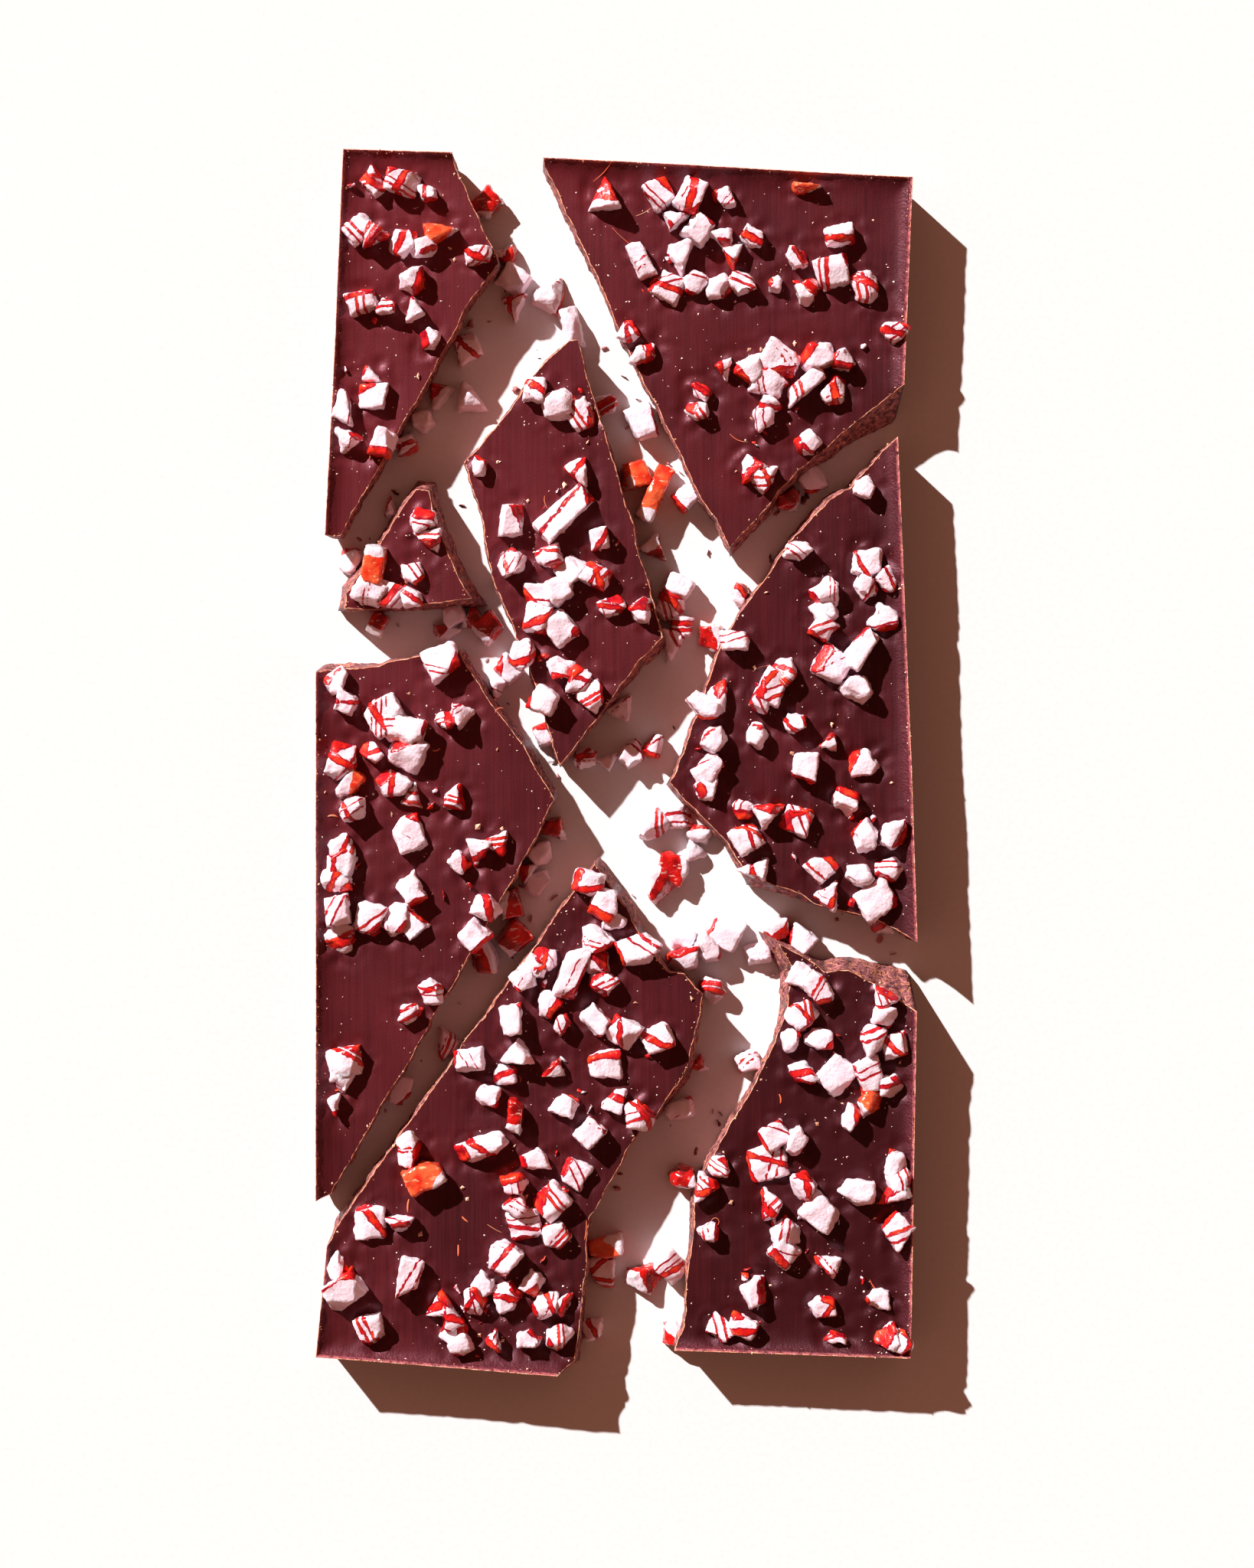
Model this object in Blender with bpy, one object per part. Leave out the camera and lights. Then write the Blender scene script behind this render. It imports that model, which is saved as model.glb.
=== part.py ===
"""Peppermint bark: one moulded slab of dark chocolate strewn with crushed peppermint candy.

The slab is broken into eight shards that still lie in the rectangle they came from. Lengths in the
tables below are millimetres, with +Y towards the top of the slab and the table at z = 0.
"""

import math
import random
from collections import namedtuple

import bmesh
import bpy
from mathutils import Matrix, Vector, geometry, noise

MM = 0.001

# The chocolate
THICK = 7.0             # table to the flat of the top face
RIM_HIGH = 0.6          # the lip that set against the wall of the mould
RIM_WIDE = 1.5
DRAFT = 0.8             # how far a moulded side leans in at its foot
BASE_ROUND = 0.35       # softening of the bottom edge
EDGE_IN = 0.6           # ring of flat just inside a broken edge
STEP = 5.0              # spacing of points along an edge
JAG = 0.34              # waver of a broken edge, and its length
JAG_LONG = 5.0
CRAG = 0.5              # relief of a broken face, and its length
CRAG_LONG = 3.6
LEVELS = (0.0, 0.16, 0.58, 1.0)     # rings up a side, as shares of its height

# The candy
SUNK = 0.8              # how deep a piece sits in the chocolate
BITE = 0.5              # how deep a piece caught in a break grips it
SLIDE = 0.2             # step by which such a piece is pushed home, and how far at most
FARTHEST = 4.6
LIFT = 0.1              # underside of a caught piece above the table
CLEAR = 0.45            # gap kept between things that belong to different shards
SIZES = (3.4, 6.4, 4.8)             # shortest, longest and usual length of a piece
HEIGHTS = (1.3, 3.8, 2.7)           # the same for how far it stands up
SLIMNESS = (0.7, 1.0)               # width as a share of length
WANDER = 0.4                        # how far a piece strays from its row
RIDGED = 4.9                        # pieces longer than this have a peak on top
WIDEST = 45.9                       # how far from the middle candy may stand out, across and along
LONGEST = 93.9

# A cut holds how many corners a piece has seen from above and how far these stray from even, both
# round it and inwards, whether the first starts anywhere, and how far its top draws in and tilts.
Cut = namedtuple("Cut", "corners stray dent spin draw_in tilt")
CUTS = {
    "lump": Cut(5, 0.3, 0.25, 1, 0.32, 0.35),
    "wedge": Cut(3, 0.2, 0.2, 1, 0.35, 0.4),
    "slab": Cut(4, 0.14, 0.16, 0, 0.2, 0.2),
    "stick": Cut(4, 0.05, 0.06, 0, 0.1, 0.1),
}
COLOURS = {
    "chocolate": ((0.055, 0.016, 0.019), 0.38),
    "white_candy": ((0.86, 0.72, 0.73), 0.35),
    "red_candy": ((0.62, 0.03, 0.02), 0.2),
    "amber_candy": ((0.85, 0.2, 0.07), 0.2),
}

# A corner holds its place and then what starts there: MOULDED, or how far the foot of that break
# stands out beyond its top edge. Corners run clockwise. A row of candy holds its two ends and a
# count, or one place. A single holds its middle, length, width, height, turn in degrees, cut and
# colour.
MOULDED = "moulded"
Shard = namedtuple("Shard", "corners rows singles caught stuck")
Single = namedtuple("Single", "x y length width height turn cut colour")
Piece = namedtuple("Piece", "x y z length width height turn cut colour seed")

SHARDS = {
    "shard_top_left": Shard(
        corners=[
            (-41.9, 94.1, MOULDED), (-25.2, 93.6, 0.2), (-24.2, 90.2, 0.2), (-18.1, 76.8, 0.3),
            (-23.4, 69.6, 0.1), (-26.3, 63.6, 0.1), (-32.3, 53.0, 0.1), (-42.4, 34.8, 0.1),
            (-44.7, 34.9, MOULDED), (-43.2, 64.0, MOULDED),
        ],
        rows=[
            (-37.0, 89.5, -28.8, 87.4, 3), (-39.5, 82.0, -29.8, 79.2, 4), (-31.0, 73.8, -28.8, 64.8, 2),
            (-39.3, 70.8, -31.8, 69.6, 3), (-38.4, 59.4, -37.2, 56.0, 2), (-40.9, 49.0, -35.9, 48.7, 2),
        ],
        singles=[
            Single(-26.8, 81.5, 5.6, 4.4, 3.2, 12, "wedge", "amber_candy"),
            Single(-21.2, 78.0, 4.8, 2.9, 2.8, 14, "slab", "white_candy"),
            Single(-41.8, 55.8, 8.6, 3.8, 2.6, 84, "wedge", "white_candy"),
        ],
        caught=[
            (-20.5, 86.5), (-16.6, 79.6, -15.6, 70.4, 3), (-19.6, 62.6), (-26.4, 57.2, -21.6, 57.4, 2),
            (-30.4, 48.0, -26.4, 50.8, 2),
        ],
        stuck=[],
    ),
    "shard_top_right": Shard(
        corners=[
            (-11.2, 92.8, MOULDED), (45.5, 89.8, MOULDED), (44.2, 58.0, 3.6), (36.0, 51.6, 0.9),
            (28.0, 45.0, 1.0), (17.4, 32.9, 0.2), (15.4, 37.4, 0.4), (13.9, 39.2, 0.1),
            (1.9, 63.4, 0.1), (-2.5, 73.4, 0.3), (-10.9, 91.4, 0.4),
        ],
        rows=[
            (6.3, 87.2, 16.8, 86.6, 3), (9.0, 83.0, 20.8, 80.2, 4), (18.4, 77.2, 10.2, 77.3, 2),
            (7.8, 72.8, 19.6, 73.2, 4), (27.4, 77.6, 38.2, 72.6, 3), (34.2, 81.4, 43.0, 66.2, 2),
            (1.8, 66.0, 4.5, 63.0, 2), (13.0, 57.4, 12.4, 53.7, 2), (16.5, 60.4, 25.2, 61.8, 3),
            (23.4, 58.8, 22.6, 52.6, 3), (31.2, 62.0, 34.4, 61.6, 2), (33.8, 57.2, 29.5, 49.2, 2),
            (21.3, 46.2, 23.3, 43.0, 2),
        ],
        singles=[
            Single(-1.8, 87.4, 5.6, 5.2, 3.6, 90, "wedge", "white_candy"),
            Single(3.9, 76.6, 7.4, 3.0, 2.4, -60, "slab", "white_candy"),
            Single(24.3, 73.4, 3.6, 2.5, 2.0, 70, "lump", "white_candy"),
            Single(29.2, 72.5, 4.9, 4.0, 3.0, 80, "lump", "red_candy"),
            Single(29.4, 88.4, 5.4, 2.6, 2.6, 8, "wedge", "amber_candy"),
            Single(28.3, 57.4, 9.4, 2.5, 2.6, 40, "stick", "white_candy"),
        ],
        caught=[
            (4.2, 53.0), (10.2, 40.8), (30.6, 44.4, 27.0, 40.6, 2),
        ],
        stuck=[],
    ),
    "shard_small_left": Shard(
        corners=[
            (-30.8, 42.0, 2.2), (-28.8, 41.8, 1.4), (-27.4, 36.0, 1.4), (-24.3, 28.6, 1.7),
            (-22.2, 25.2, 1.3), (-29.0, 24.4, 0.2), (-37.0, 23.5, 0.1), (-41.9, 23.6, 1.6),
            (-41.5, 26.0, 2.0), (-38.9, 29.8, 1.3), (-36.0, 34.2, 1.2),
        ],
        rows=[(-29.4, 37.3, -28.0, 34.6, 2), (-31.4, 29.0, -31.3, 25.2, 2), (-34.8, 25.6, -37.6, 26.0, 2)],
        singles=[Single(-37.2, 30.2, 6.4, 3.6, 3.4, 84, "slab", "amber_candy")],
        caught=[
            (-35.2, 39.0), (-41.6, 31.6), (-37.0, 20.4), (-25.2, 22.5, -27.2, 19.5, 2),
            (-22.4, 20.6, -19.8, 20.9, 2),
        ],
        stuck=[],
    ),
    "shard_middle": Shard(
        corners=[
            (-7.2, 64.9, 0.2), (-5.9, 65.0, 0.2), (-3.8, 57.0, 0.2), (0.4, 43.6, 0.5),
            (4.6, 28.8, 0.4), (7.2, 19.2, 1.7), (3.4, 15.6, 0.6), (-1.9, 8.2, 0.2),
            (-8.7, -0.5, 0.1), (-11.4, 8.6, 0.3), (-16.0, 21.5, 0.3), (-18.7, 27.2, 0.2),
            (-21.3, 40.0, 0.3), (-23.4, 46.2, 0.5), (-18.8, 51.2, 0.5), (-12.0, 60.3, 0.2),
        ],
        rows=[
            (-12.6, 57.0, -5.6, 53.2, 3), (-20.6, 45.6), (-5.9, 44.6, -3.0, 34.0, 2),
            (-16.2, 36.8, -16.5, 30.6, 2), (-10.3, 31.0, -3.4, 28.3, 3), (-12.0, 25.2, -9.3, 26.4, 2),
            (-0.5, 24.2, 4.0, 23.6, 2), (-12.1, 22.2, -8.9, 21.0, 2), (-14.0, 17.0, -11.2, 9.8, 2),
            (-8.2, 14.6, -3.4, 11.1, 3),
        ],
        singles=[Single(-8.4, 38.0, 11.0, 4.0, 2.8, 42, "stick", "white_candy")],
        caught=[
            (-0.4, 56.0), (5.8, 33.7), (9.3, 24.6, 9.6, 27.5, 2), (10.2, 21.3, 9.2, 18.8, 2), (1.6, 8.4),
            (-5.0, 1.2, -0.6, 0.6, 2), (2.9, 1.4, 5.4, 2.6, 2), (-11.6, 4.3),
        ],
        stuck=[
            Single(-5.2, 66.4, 4.0, 2.8, 2.6, 10, "lump", "white_candy"),
            Single(-7.0, 70.8, 7.0, 3.2, 3.2, 105, "slab", "white_candy"),
            Single(-10.6, 73.4, 6.0, 4.8, 3.4, 70, "lump", "white_candy"),
            Single(3.2, 44.8, 5.4, 4.4, 3.6, 12, "slab", "amber_candy"),
            Single(6.0, 41.8, 9.4, 2.8, 3.0, 66, "stick", "amber_candy"),
        ],
    ),
    "shard_left": Shard(
        corners=[
            (-46.1, 13.9, 1.4), (-38.5, 14.6, 0.5), (-32.0, 16.0, 0.1), (-24.2, 17.3, 0.9),
            (-20.0, 10.2, 1.1), (-14.2, 2.6, 1.0), (-9.5, -5.7, 0.2), (-11.7, -10.4, 0.1),
            (-24.0, -32.2, 0.1), (-42.0, -63.0, 0.1), (-43.8, -66.3, 0.2), (-46.1, -67.3, MOULDED),
        ],
        rows=[
            (-43.5, 12.8, -41.3, 9.2, 2), (-26.4, 15.4), (-35.4, 6.6, -31.8, 5.2, 3),
            (-23.4, 8.0, -26.2, 6.4, 2), (-37.8, 1.8, -31.9, 1.2, 2), (-40.4, -6.8, -30.4, -5.2, 2),
            (-24.6, -6.0, -32.0, -10.6, 2), (-24.3, -15.0, -18.6, -13.0, 3), (-41.6, -13.0, -43.4, -17.8, 3),
            (-42.8, -23.0, -42.6, -27.2, 2), (-37.4, -23.6, -31.0, -24.4, 3), (-31.3, -19.8),
            (-20.5, -22.3, -22.0, -26.3, 2), (-31.4, -38.8, -28.4, -35.6, 2), (-41.5, -45.8, -43.0, -52.2, 3),
        ],
        singles=[
            Single(-42.4, 0.4, 6.6, 5.2, 3.2, 50, "lump", "white_candy"),
            Single(-41.0, -3.6, 5.4, 2.9, 2.4, 52, "slab", "amber_candy"),
            Single(-34.6, -3.3, 6.4, 4.6, 2.8, -15, "lump", "white_candy"),
        ],
        caught=[
            (-17.6, 11.8, -16.6, 15.0, 2), (-8.6, -10.8), (-11.2, -14.4, -14.2, -17.5, 2), (-12.0, -18.6),
            (-16.6, -22.0, -16.5, -26.6, 2), (-20.2, -30.0), (-33.8, -50.8), (-27.6, 18.8),
        ],
        stuck=[],
    ),
    "shard_right": Shard(
        corners=[
            (43.2, 50.0, MOULDED), (45.3, 0.0, MOULDED), (46.2, -27.6, 0.1), (39.8, -24.0, 0.2),
            (30.6, -21.8, 1.2), (28.4, -20.2, 1.2), (23.8, -18.7, 1.7), (20.0, -17.4, 0.7),
            (17.0, -12.2, 0.7), (9.6, -4.8, 0.7), (8.2, -3.0, 0.3), (10.3, 1.4, 0.3),
            (15.9, 17.5, 0.1), (18.2, 21.7, 0.1), (27.4, 34.9, 1.2), (32.8, 40.4, 1.2),
            (36.0, 42.2, 0.4), (39.0, 45.6, 0.2),
        ],
        rows=[
            (38.2, 42.4, 27.6, 32.6, 2), (38.9, 30.6, 42.0, 28.0, 2), (38.2, 27.0, 41.0, 22.4, 2),
            (32.2, 26.2, 32.0, 21.0, 3), (33.4, 15.2), (26.2, 14.4, 22.4, 8.8, 3),
            (27.0, 5.8, 21.9, 3.8, 2), (18.4, 18.8, 16.0, 11.0, 2), (13.8, -0.4, 13.8, -4.0, 2),
            (19.4, -7.8, 27.4, -9.0, 3), (38.0, 0.4, 35.2, -6.4, 2), (38.2, -11.4, 42.4, -10.8, 2),
            (20.0, -11.8, 21.2, -16.4, 2), (31.6, -16.0, 33.2, -19.8, 2), (37.4, -17.2, 42.0, -16.2, 2),
            (39.6, -21.4),
        ],
        singles=[
            Single(37.4, 17.2, 7.0, 3.4, 3.4, 52, "slab", "white_candy"),
            Single(36.6, 11.0, 5.6, 4.6, 3.6, 10, "lump", "white_candy"),
            Single(32.8, 3.6, 3.8, 3.0, 2.0, 80, "wedge", "red_candy"),
            Single(13.6, 8.4, 6.6, 4.0, 3.2, -25, "lump", "white_candy"),
            Single(15.0, 3.6, 4.9, 4.4, 3.6, 75, "lump", "white_candy"),
            Single(28.9, -1.0, 5.2, 3.8, 3.8, 84, "stick", "white_candy"),
        ],
        caught=[
            (17.5, 27.0, 12.6, 29.4, 2), (15.6, 22.3, 14.2, 20.0, 2), (9.5, -8.4, 5.8, -9.8, 2),
            (10.6, -13.2, 12.4, -16.4, 2), (8.6, -16.6, 6.6, -18.8, 2), (41.2, -25.4),
        ],
        stuck=[],
    ),
    "shard_bottom_left": Shard(
        corners=[
            (-3.3, -15.6, 1.4), (-0.3, -19.8, 1.4), (3.4, -26.0, 0.8), (8.0, -32.2, 0.1),
            (10.4, -32.4, 0.1), (13.3, -35.6, 0.2), (13.0, -38.5, 0.7), (10.6, -47.4, 2.0),
            (6.3, -54.0, 0.4), (2.1, -58.8, 0.2), (-2.6, -67.6, 0.2), (-4.2, -70.0, 0.2),
            (-5.2, -83.0, 1.0), (-6.4, -92.0, 1.3), (-9.0, -94.1, MOULDED), (-46.1, -91.2, MOULDED),
            (-44.4, -74.2, 0.9), (-42.2, -70.2, 0.9), (-38.6, -65.0, 0.2), (-24.4, -44.6, 0.1),
            (-7.0, -20.4, 0.3),
        ],
        rows=[
            (-4.3, -18.9, 0.6, -24.2, 3), (-3.4, -27.0), (-14.6, -33.0, -11.1, -30.6, 3),
            (-3.0, -31.0, -2.2, -34.0, 2), (-10.6, -37.2, -8.0, -40.0, 2), (-15.8, -39.2),
            (-2.9, -39.8, 6.0, -42.4, 3), (-15.4, -44.6, -19.4, -51.0, 3), (-22.7, -46.0),
            (-1.2, -46.3, -0.6, -52.0, 2), (-7.7, -53.0, -4.0, -57.0, 2), (3.4, -54.0),
            (-31.3, -59.2), (-6.7, -63.2, -9.7, -67.2, 2), (-15.8, -64.8, -14.4, -71.0, 3),
            (-9.5, -73.0), (-37.4, -71.0, -34.0, -70.4, 2), (-43.0, -77.0),
            (-37.4, -87.0), (-20.2, -80.0, -22.0, -83.4, 2), (-16.8, -82.0, -12.6, -79.8, 2),
            (-11.2, -83.0, -8.0, -83.0, 2), (-27.0, -83.2, -24.0, -90.0, 4), (-18.2, -89.6, -8.6, -88.2, 3),
        ],
        singles=[
            Single(3.0, -28.8, 8.2, 5.0, 3.6, 4, "lump", "white_candy"),
            Single(-6.9, -32.4, 9.2, 3.8, 3.4, 68, "slab", "white_candy"),
            Single(-10.0, -46.9, 4.2, 3.2, 2.0, 8, "wedge", "red_candy"),
            Single(-15.6, -54.6, 6.0, 2.5, 2.8, 86, "slab", "red_candy"),
            Single(-29.6, -63.4, 6.4, 4.8, 3.8, 22, "slab", "amber_candy"),
            Single(-20.6, -59.4, 8.8, 4.6, 3.0, 14, "lump", "white_candy"),
            Single(-12.6, -60.8, 7.0, 3.6, 2.6, -8, "lump", "white_candy"),
            Single(-32.0, -79.2, 6.6, 3.6, 3.0, 72, "stick", "white_candy"),
            Single(-42.0, -81.2, 7.0, 5.2, 4.0, 40, "slab", "white_candy"),
            Single(-17.0, -76.0, 6.6, 5.6, 3.8, 30, "lump", "white_candy"),
        ],
        caught=[
            (10.5, -30.4, 10.6, -27.6, 2), (15.2, -28.4, 17.0, -26.4, 2), (16.2, -34.6), (14.6, -48.0),
            (10.4, -54.4), (-2.5, -79.0), (-1.4, -88.0), (-26.6, -44.4),
        ],
        stuck=[
            Single(0.8, -75.2, 6.0, 3.6, 3.2, 12, "slab", "amber_candy"),
            Single(18.4, -25.0, 3.4, 2.8, 2.6, 40, "slab", "red_candy"),
        ],
    ),
    "shard_bottom_right": Shard(
        corners=[
            (25.0, -27.9, 0.3), (30.6, -30.9, 1.6), (32.0, -32.2, 2.0), (35.6, -31.9, 2.2),
            (39.6, -34.0, 4.8), (46.1, -38.2, MOULDED), (45.2, -91.4, MOULDED), (8.9, -90.2, 0.2),
            (10.7, -85.0, 0.1), (10.7, -81.0, 0.1), (11.7, -73.6, 1.0), (12.3, -66.4, 0.3),
            (13.0, -63.6, 0.3), (18.4, -54.2, 0.4), (21.3, -49.4, 0.1), (24.4, -43.0, 0.2),
            (26.3, -37.6, 1.9), (27.1, -31.6, 2.2),
        ],
        rows=[
            (28.6, -33.2, 31.6, -34.6, 2), (28.2, -39.0, 26.6, -43.0, 2), (30.9, -42.4, 28.5, -48.2, 2),
            (41.4, -36.4, 40.8, -38.6, 2), (39.6, -43.0, 43.2, -43.2, 2), (38.4, -47.6, 42.4, -49.4, 2),
            (35.8, -54.0), (24.8, -57.6, 27.6, -58.2, 2), (16.0, -62.6, 14.2, -65.6, 2),
            (28.8, -65.6, 23.0, -68.0, 2), (42.8, -61.6, 43.8, -66.5, 3), (31.7, -69.0),
            (14.4, -71.8), (26.2, -72.4, 25.8, -75.4, 2), (32.3, -77.4, 32.0, -84.0, 2),
            (42.8, -72.2), (40.9, -83.0, 41.2, -88.4, 2), (16.2, -86.8, 19.4, -86.4, 2),
            (33.4, -88.8), (43.6, -89.2),
        ],
        singles=[
            Single(33.7, -48.2, 6.4, 5.8, 1.3, 60, "slab", "white_candy"),
            Single(38.9, -52.4, 5.4, 3.6, 3.2, 76, "lump", "amber_candy"),
            Single(23.2, -61.6, 6.6, 6.0, 1.2, 20, "slab", "white_candy"),
            Single(36.8, -66.0, 5.9, 4.6, 3.7, 5, "lump", "white_candy"),
            Single(21.2, -81.2, 5.6, 5.0, 3.6, 60, "lump", "white_candy"),
        ],
        caught=[
            (21.8, -27.0, 20.6, -30.8, 2), (25.3, -25.2), (29.0, -26.5), (19.4, -45.8), (10.4, -64.2),
            (7.8, -78.2, 3.4, -80.4, 2), (7.4, -87.7),
        ],
        stuck=[],
    ),
}


def outward(a, b):
    """Unit normal of the edge from a to b, out of an outline that runs clockwise."""
    along = Vector((b[0] - a[0], b[1] - a[1])).normalized()
    return Vector((-along.y, along.x))


def corner_shift(before, after, reach_before, reach_after):
    """How a corner moves when the edges before and after it move out by their reaches."""
    cross = before.x * after.y - before.y * after.x
    longest = 1.8 * max(abs(reach_before), abs(reach_after))
    if abs(cross) < 0.35:
        return (before + after).normalized() * (reach_before + reach_after) / 2
    shift = Vector((
        (reach_before * after.y - reach_after * before.y) / cross,
        (before.x * reach_after - after.x * reach_before) / cross,
    ))
    return shift * min(1.0, longest / max(shift.length, 1e-6))


def corner_shifts(corners, reach_of):
    """The shift of every corner, where reach_of gives an edge's reach from what starts at its corner."""
    shifts = []
    for i, corner in enumerate(corners):
        last, following = corners[i - 1], corners[(i + 1) % len(corners)]
        shifts.append(corner_shift(
            outward(last, corner), outward(corner, following), reach_of(last[2]), reach_of(corner[2])
        ))
    return shifts


def jag(x, y):
    """How far a broken edge strays from straight at a place."""
    at = Vector((x, y, 0.0)) / JAG_LONG
    return JAG * (noise.noise(at) + 0.5 * noise.noise(at * 2.7))


def crag(x, y, z):
    """How far a broken face stands out at a place."""
    return CRAG * noise.noise(Vector((x, y, 1.7 * z)) / CRAG_LONG)


EdgePoint = namedtuple("EdgePoint", "place normal foot inner rim broken")


def edge_points(corners, step):
    """The top edge of a shard, clockwise, with what its foot, its rim and its flat need at each point."""
    feet = corner_shifts(corners, lambda kind: -DRAFT if kind == MOULDED else kind)
    inners = corner_shifts(corners, lambda kind: -RIM_WIDE if kind == MOULDED else -EDGE_IN)
    points = []
    for i, corner in enumerate(corners):
        j = (i + 1) % len(corners)
        here, there = Vector(corner[:2]), Vector(corners[j][:2])
        normal = outward(here, there)
        length = (there - here).length
        moulded = corner[2] == MOULDED
        parts = 1 if moulded else max(1, round(length / step))
        shares = [k / parts for k in range(parts)]
        if not moulded and corners[i - 1][2] == MOULDED:
            shares.append(RIM_WIDE / length)
        if not moulded and corners[j][2] == MOULDED:
            shares.append(1 - RIM_WIDE / length)
        for share in sorted(shares):
            place = here.lerp(there, share)
            at_corner = share == 0
            if not moulded and not at_corner:
                place = place + normal * jag(place.x, place.y)
            previous = outward(corners[i - 1], corner)
            out = (normal + previous).normalized() if at_corner else normal
            rim = moulded or (at_corner and corners[i - 1][2] == MOULDED)
            points.append(EdgePoint(
                place, out, feet[i].lerp(feet[j], share), inners[i].lerp(inners[j], share),
                float(rim), 0.0 if moulded or rim else 1.0,
            ))
    return points


def side_place(point, share):
    """Where a side is at a share of its height."""
    z = share * THICK
    place = point.place + point.foot * (1 - share)
    bulge = point.broken * 4 * share * (1 - share) * crag(place.x, place.y, z)
    if share == 0:
        bulge -= BASE_ROUND
    place = place + point.normal * bulge
    return Vector((place.x, place.y, z + point.rim * RIM_HIGH * (share == 1)))


def slab_mesh(name, shard):
    """The chocolate of one shard: rings up its sides, a flat bottom, and a top inside its rim."""
    points = edge_points(shard.corners, STEP)
    rings = [[side_place(point, share) for point in points] for share in LEVELS]
    rings.append([
        Vector((*(point.place + point.inner), THICK)) for point in points
    ])
    bm = bmesh.new()
    verts = [[bm.verts.new(place * MM) for place in ring] for ring in rings]
    count = len(points)
    for lower, upper in zip(verts, verts[1:]):
        for i in range(count):
            j = (i + 1) % count
            bm.faces.new((lower[j], lower[i], upper[i], upper[j]))
    bm.faces.new(verts[0])
    bm.faces.new(list(reversed(verts[-1])))
    bmesh.ops.recalc_face_normals(bm, faces=bm.faces)
    bmesh.ops.triangulate(bm, faces=bm.faces)
    mesh = bpy.data.meshes.new(name)
    bm.to_mesh(mesh)
    bm.free()
    return mesh


def piece_corners(piece):
    """The points whose hull is a piece of candy, in millimetres about its middle, with its base at 0."""
    rng = random.Random(piece.seed)
    cut = CUTS[piece.cut]
    start = 0.5 + cut.spin * rng.random()
    plan = []
    for k in range(cut.corners):
        angle = 2 * math.pi * (k + start + rng.uniform(-cut.stray, cut.stray)) / cut.corners
        reach = 1 - rng.uniform(0, cut.dent)
        plan.append((reach * math.cos(angle), reach * math.sin(angle)))
    corners = [(x, y, 0.0) for x, y in plan]
    for x, y in plan:
        kept = 1 - rng.uniform(0, cut.draw_in)
        corners.append((kept * x, kept * y, 1 - rng.uniform(0, cut.tilt)))
    if piece.length > RIDGED:
        corners.append((rng.uniform(-0.4, 0.4), rng.uniform(-0.3, 0.3), rng.uniform(1.0, 1.1)))
    xs, ys, zs = zip(*corners)
    turn = Matrix.Rotation(math.radians(piece.turn), 3, "Z")
    return [
        turn @ Vector((
            piece.length * ((x - min(xs)) / (max(xs) - min(xs)) - 0.5),
            piece.width * ((y - min(ys)) / (max(ys) - min(ys)) - 0.5),
            piece.height * z / max(zs),
        ))
        for x, y, z in corners
    ]


def drawn_piece(rng, x, y, z, seed):
    """A piece of ordinary candy, its size and turn drawn at random."""
    length = rng.triangular(*SIZES)
    cut = rng.choice(("lump", "lump", "lump", "slab", "slab", "wedge"))
    return Piece(
        x, y, z, length, length * rng.uniform(*SLIMNESS), rng.triangular(*HEIGHTS),
        rng.uniform(0, 180), cut, "white_candy", seed,
    )


def along_row(row):
    """The places of the pieces in a row."""
    if len(row) == 2:
        yield row
        return
    x0, y0, x1, y1, count = row
    for k in range(count):
        share = k / (count - 1)
        yield x0 + share * (x1 - x0), y0 + share * (y1 - y0)


def pieces_on_top(name, shard):
    """The candy that sits in the top face."""
    rng = random.Random(name + " top")
    pieces = []
    for single in shard.singles:
        pieces.append(Piece(
            single.x, single.y, THICK - SUNK, single.length, single.width, single.height + SUNK,
            single.turn, single.cut, single.colour, f"{name} single {len(pieces)}",
        ))
    for row in shard.rows:
        for x, y in along_row(row):
            x += rng.uniform(-WANDER, WANDER)
            y += rng.uniform(-WANDER, WANDER)
            piece = drawn_piece(rng, x, y, THICK - SUNK, f"{name} top {len(pieces)}")
            pieces.append(piece._replace(height=piece.height + SUNK))
    return [kept_in(piece) for piece in pieces]


def flank(shard, share=0.2):
    """The outline of a shard's side at a share of its height."""
    return [side_place(point, share).xy for point in edge_points(shard.corners, STEP)]


def nearest_on(outline, place):
    """The nearest point of an outline to a place."""
    best = None
    for a, b in zip(outline, outline[1:] + outline[:1]):
        share = max(0.0, min(1.0, geometry.intersect_point_line(place, a, b)[1]))
        foot = a.lerp(b, share)
        if best is None or (place - foot).length < (place - best).length:
            best = foot
    return best


def inside(outline, place):
    """Whether a place lies inside an outline."""
    crossings = 0
    for a, b in zip(outline, outline[1:] + outline[:1]):
        if (a.y > place.y) != (b.y > place.y):
            crossings += place.x < a.x + (place.y - a.y) * (b.x - a.x) / (b.y - a.y)
    return crossings % 2 == 1


def footprint(piece, share=2.0):
    """The convex outline of a piece seen from above, of its corners below a share of its height."""
    low = [corner.xy for corner in piece_corners(piece) if corner.z < share * piece.height]
    return [low[i] + Vector((piece.x, piece.y)) for i in geometry.convex_hull_2d(low)]


def kept_in(piece):
    """The piece, shifted so that nothing of it stands out beyond the slab."""
    outline = footprint(piece)
    shifts = []
    for k, most in enumerate((WIDEST, LONGEST)):
        low = min(place[k] for place in outline)
        high = max(place[k] for place in outline)
        shifts.append(max(0.0, -most - low) - max(0.0, high - most))
    return piece._replace(x=piece.x + shifts[0], y=piece.y + shifts[1])


def overlap(first, second):
    """How deep two convex outlines reach into each other, or minus the gap that surely parts them."""
    least = math.inf
    for outline in (first, second):
        for a, b in zip(outline, outline[1:] + outline[:1]):
            axis = outward(a, b)
            one = [place.dot(axis) for place in first]
            two = [place.dot(axis) for place in second]
            least = min(least, max(one) - min(two), max(two) - min(one))
    return least


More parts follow.
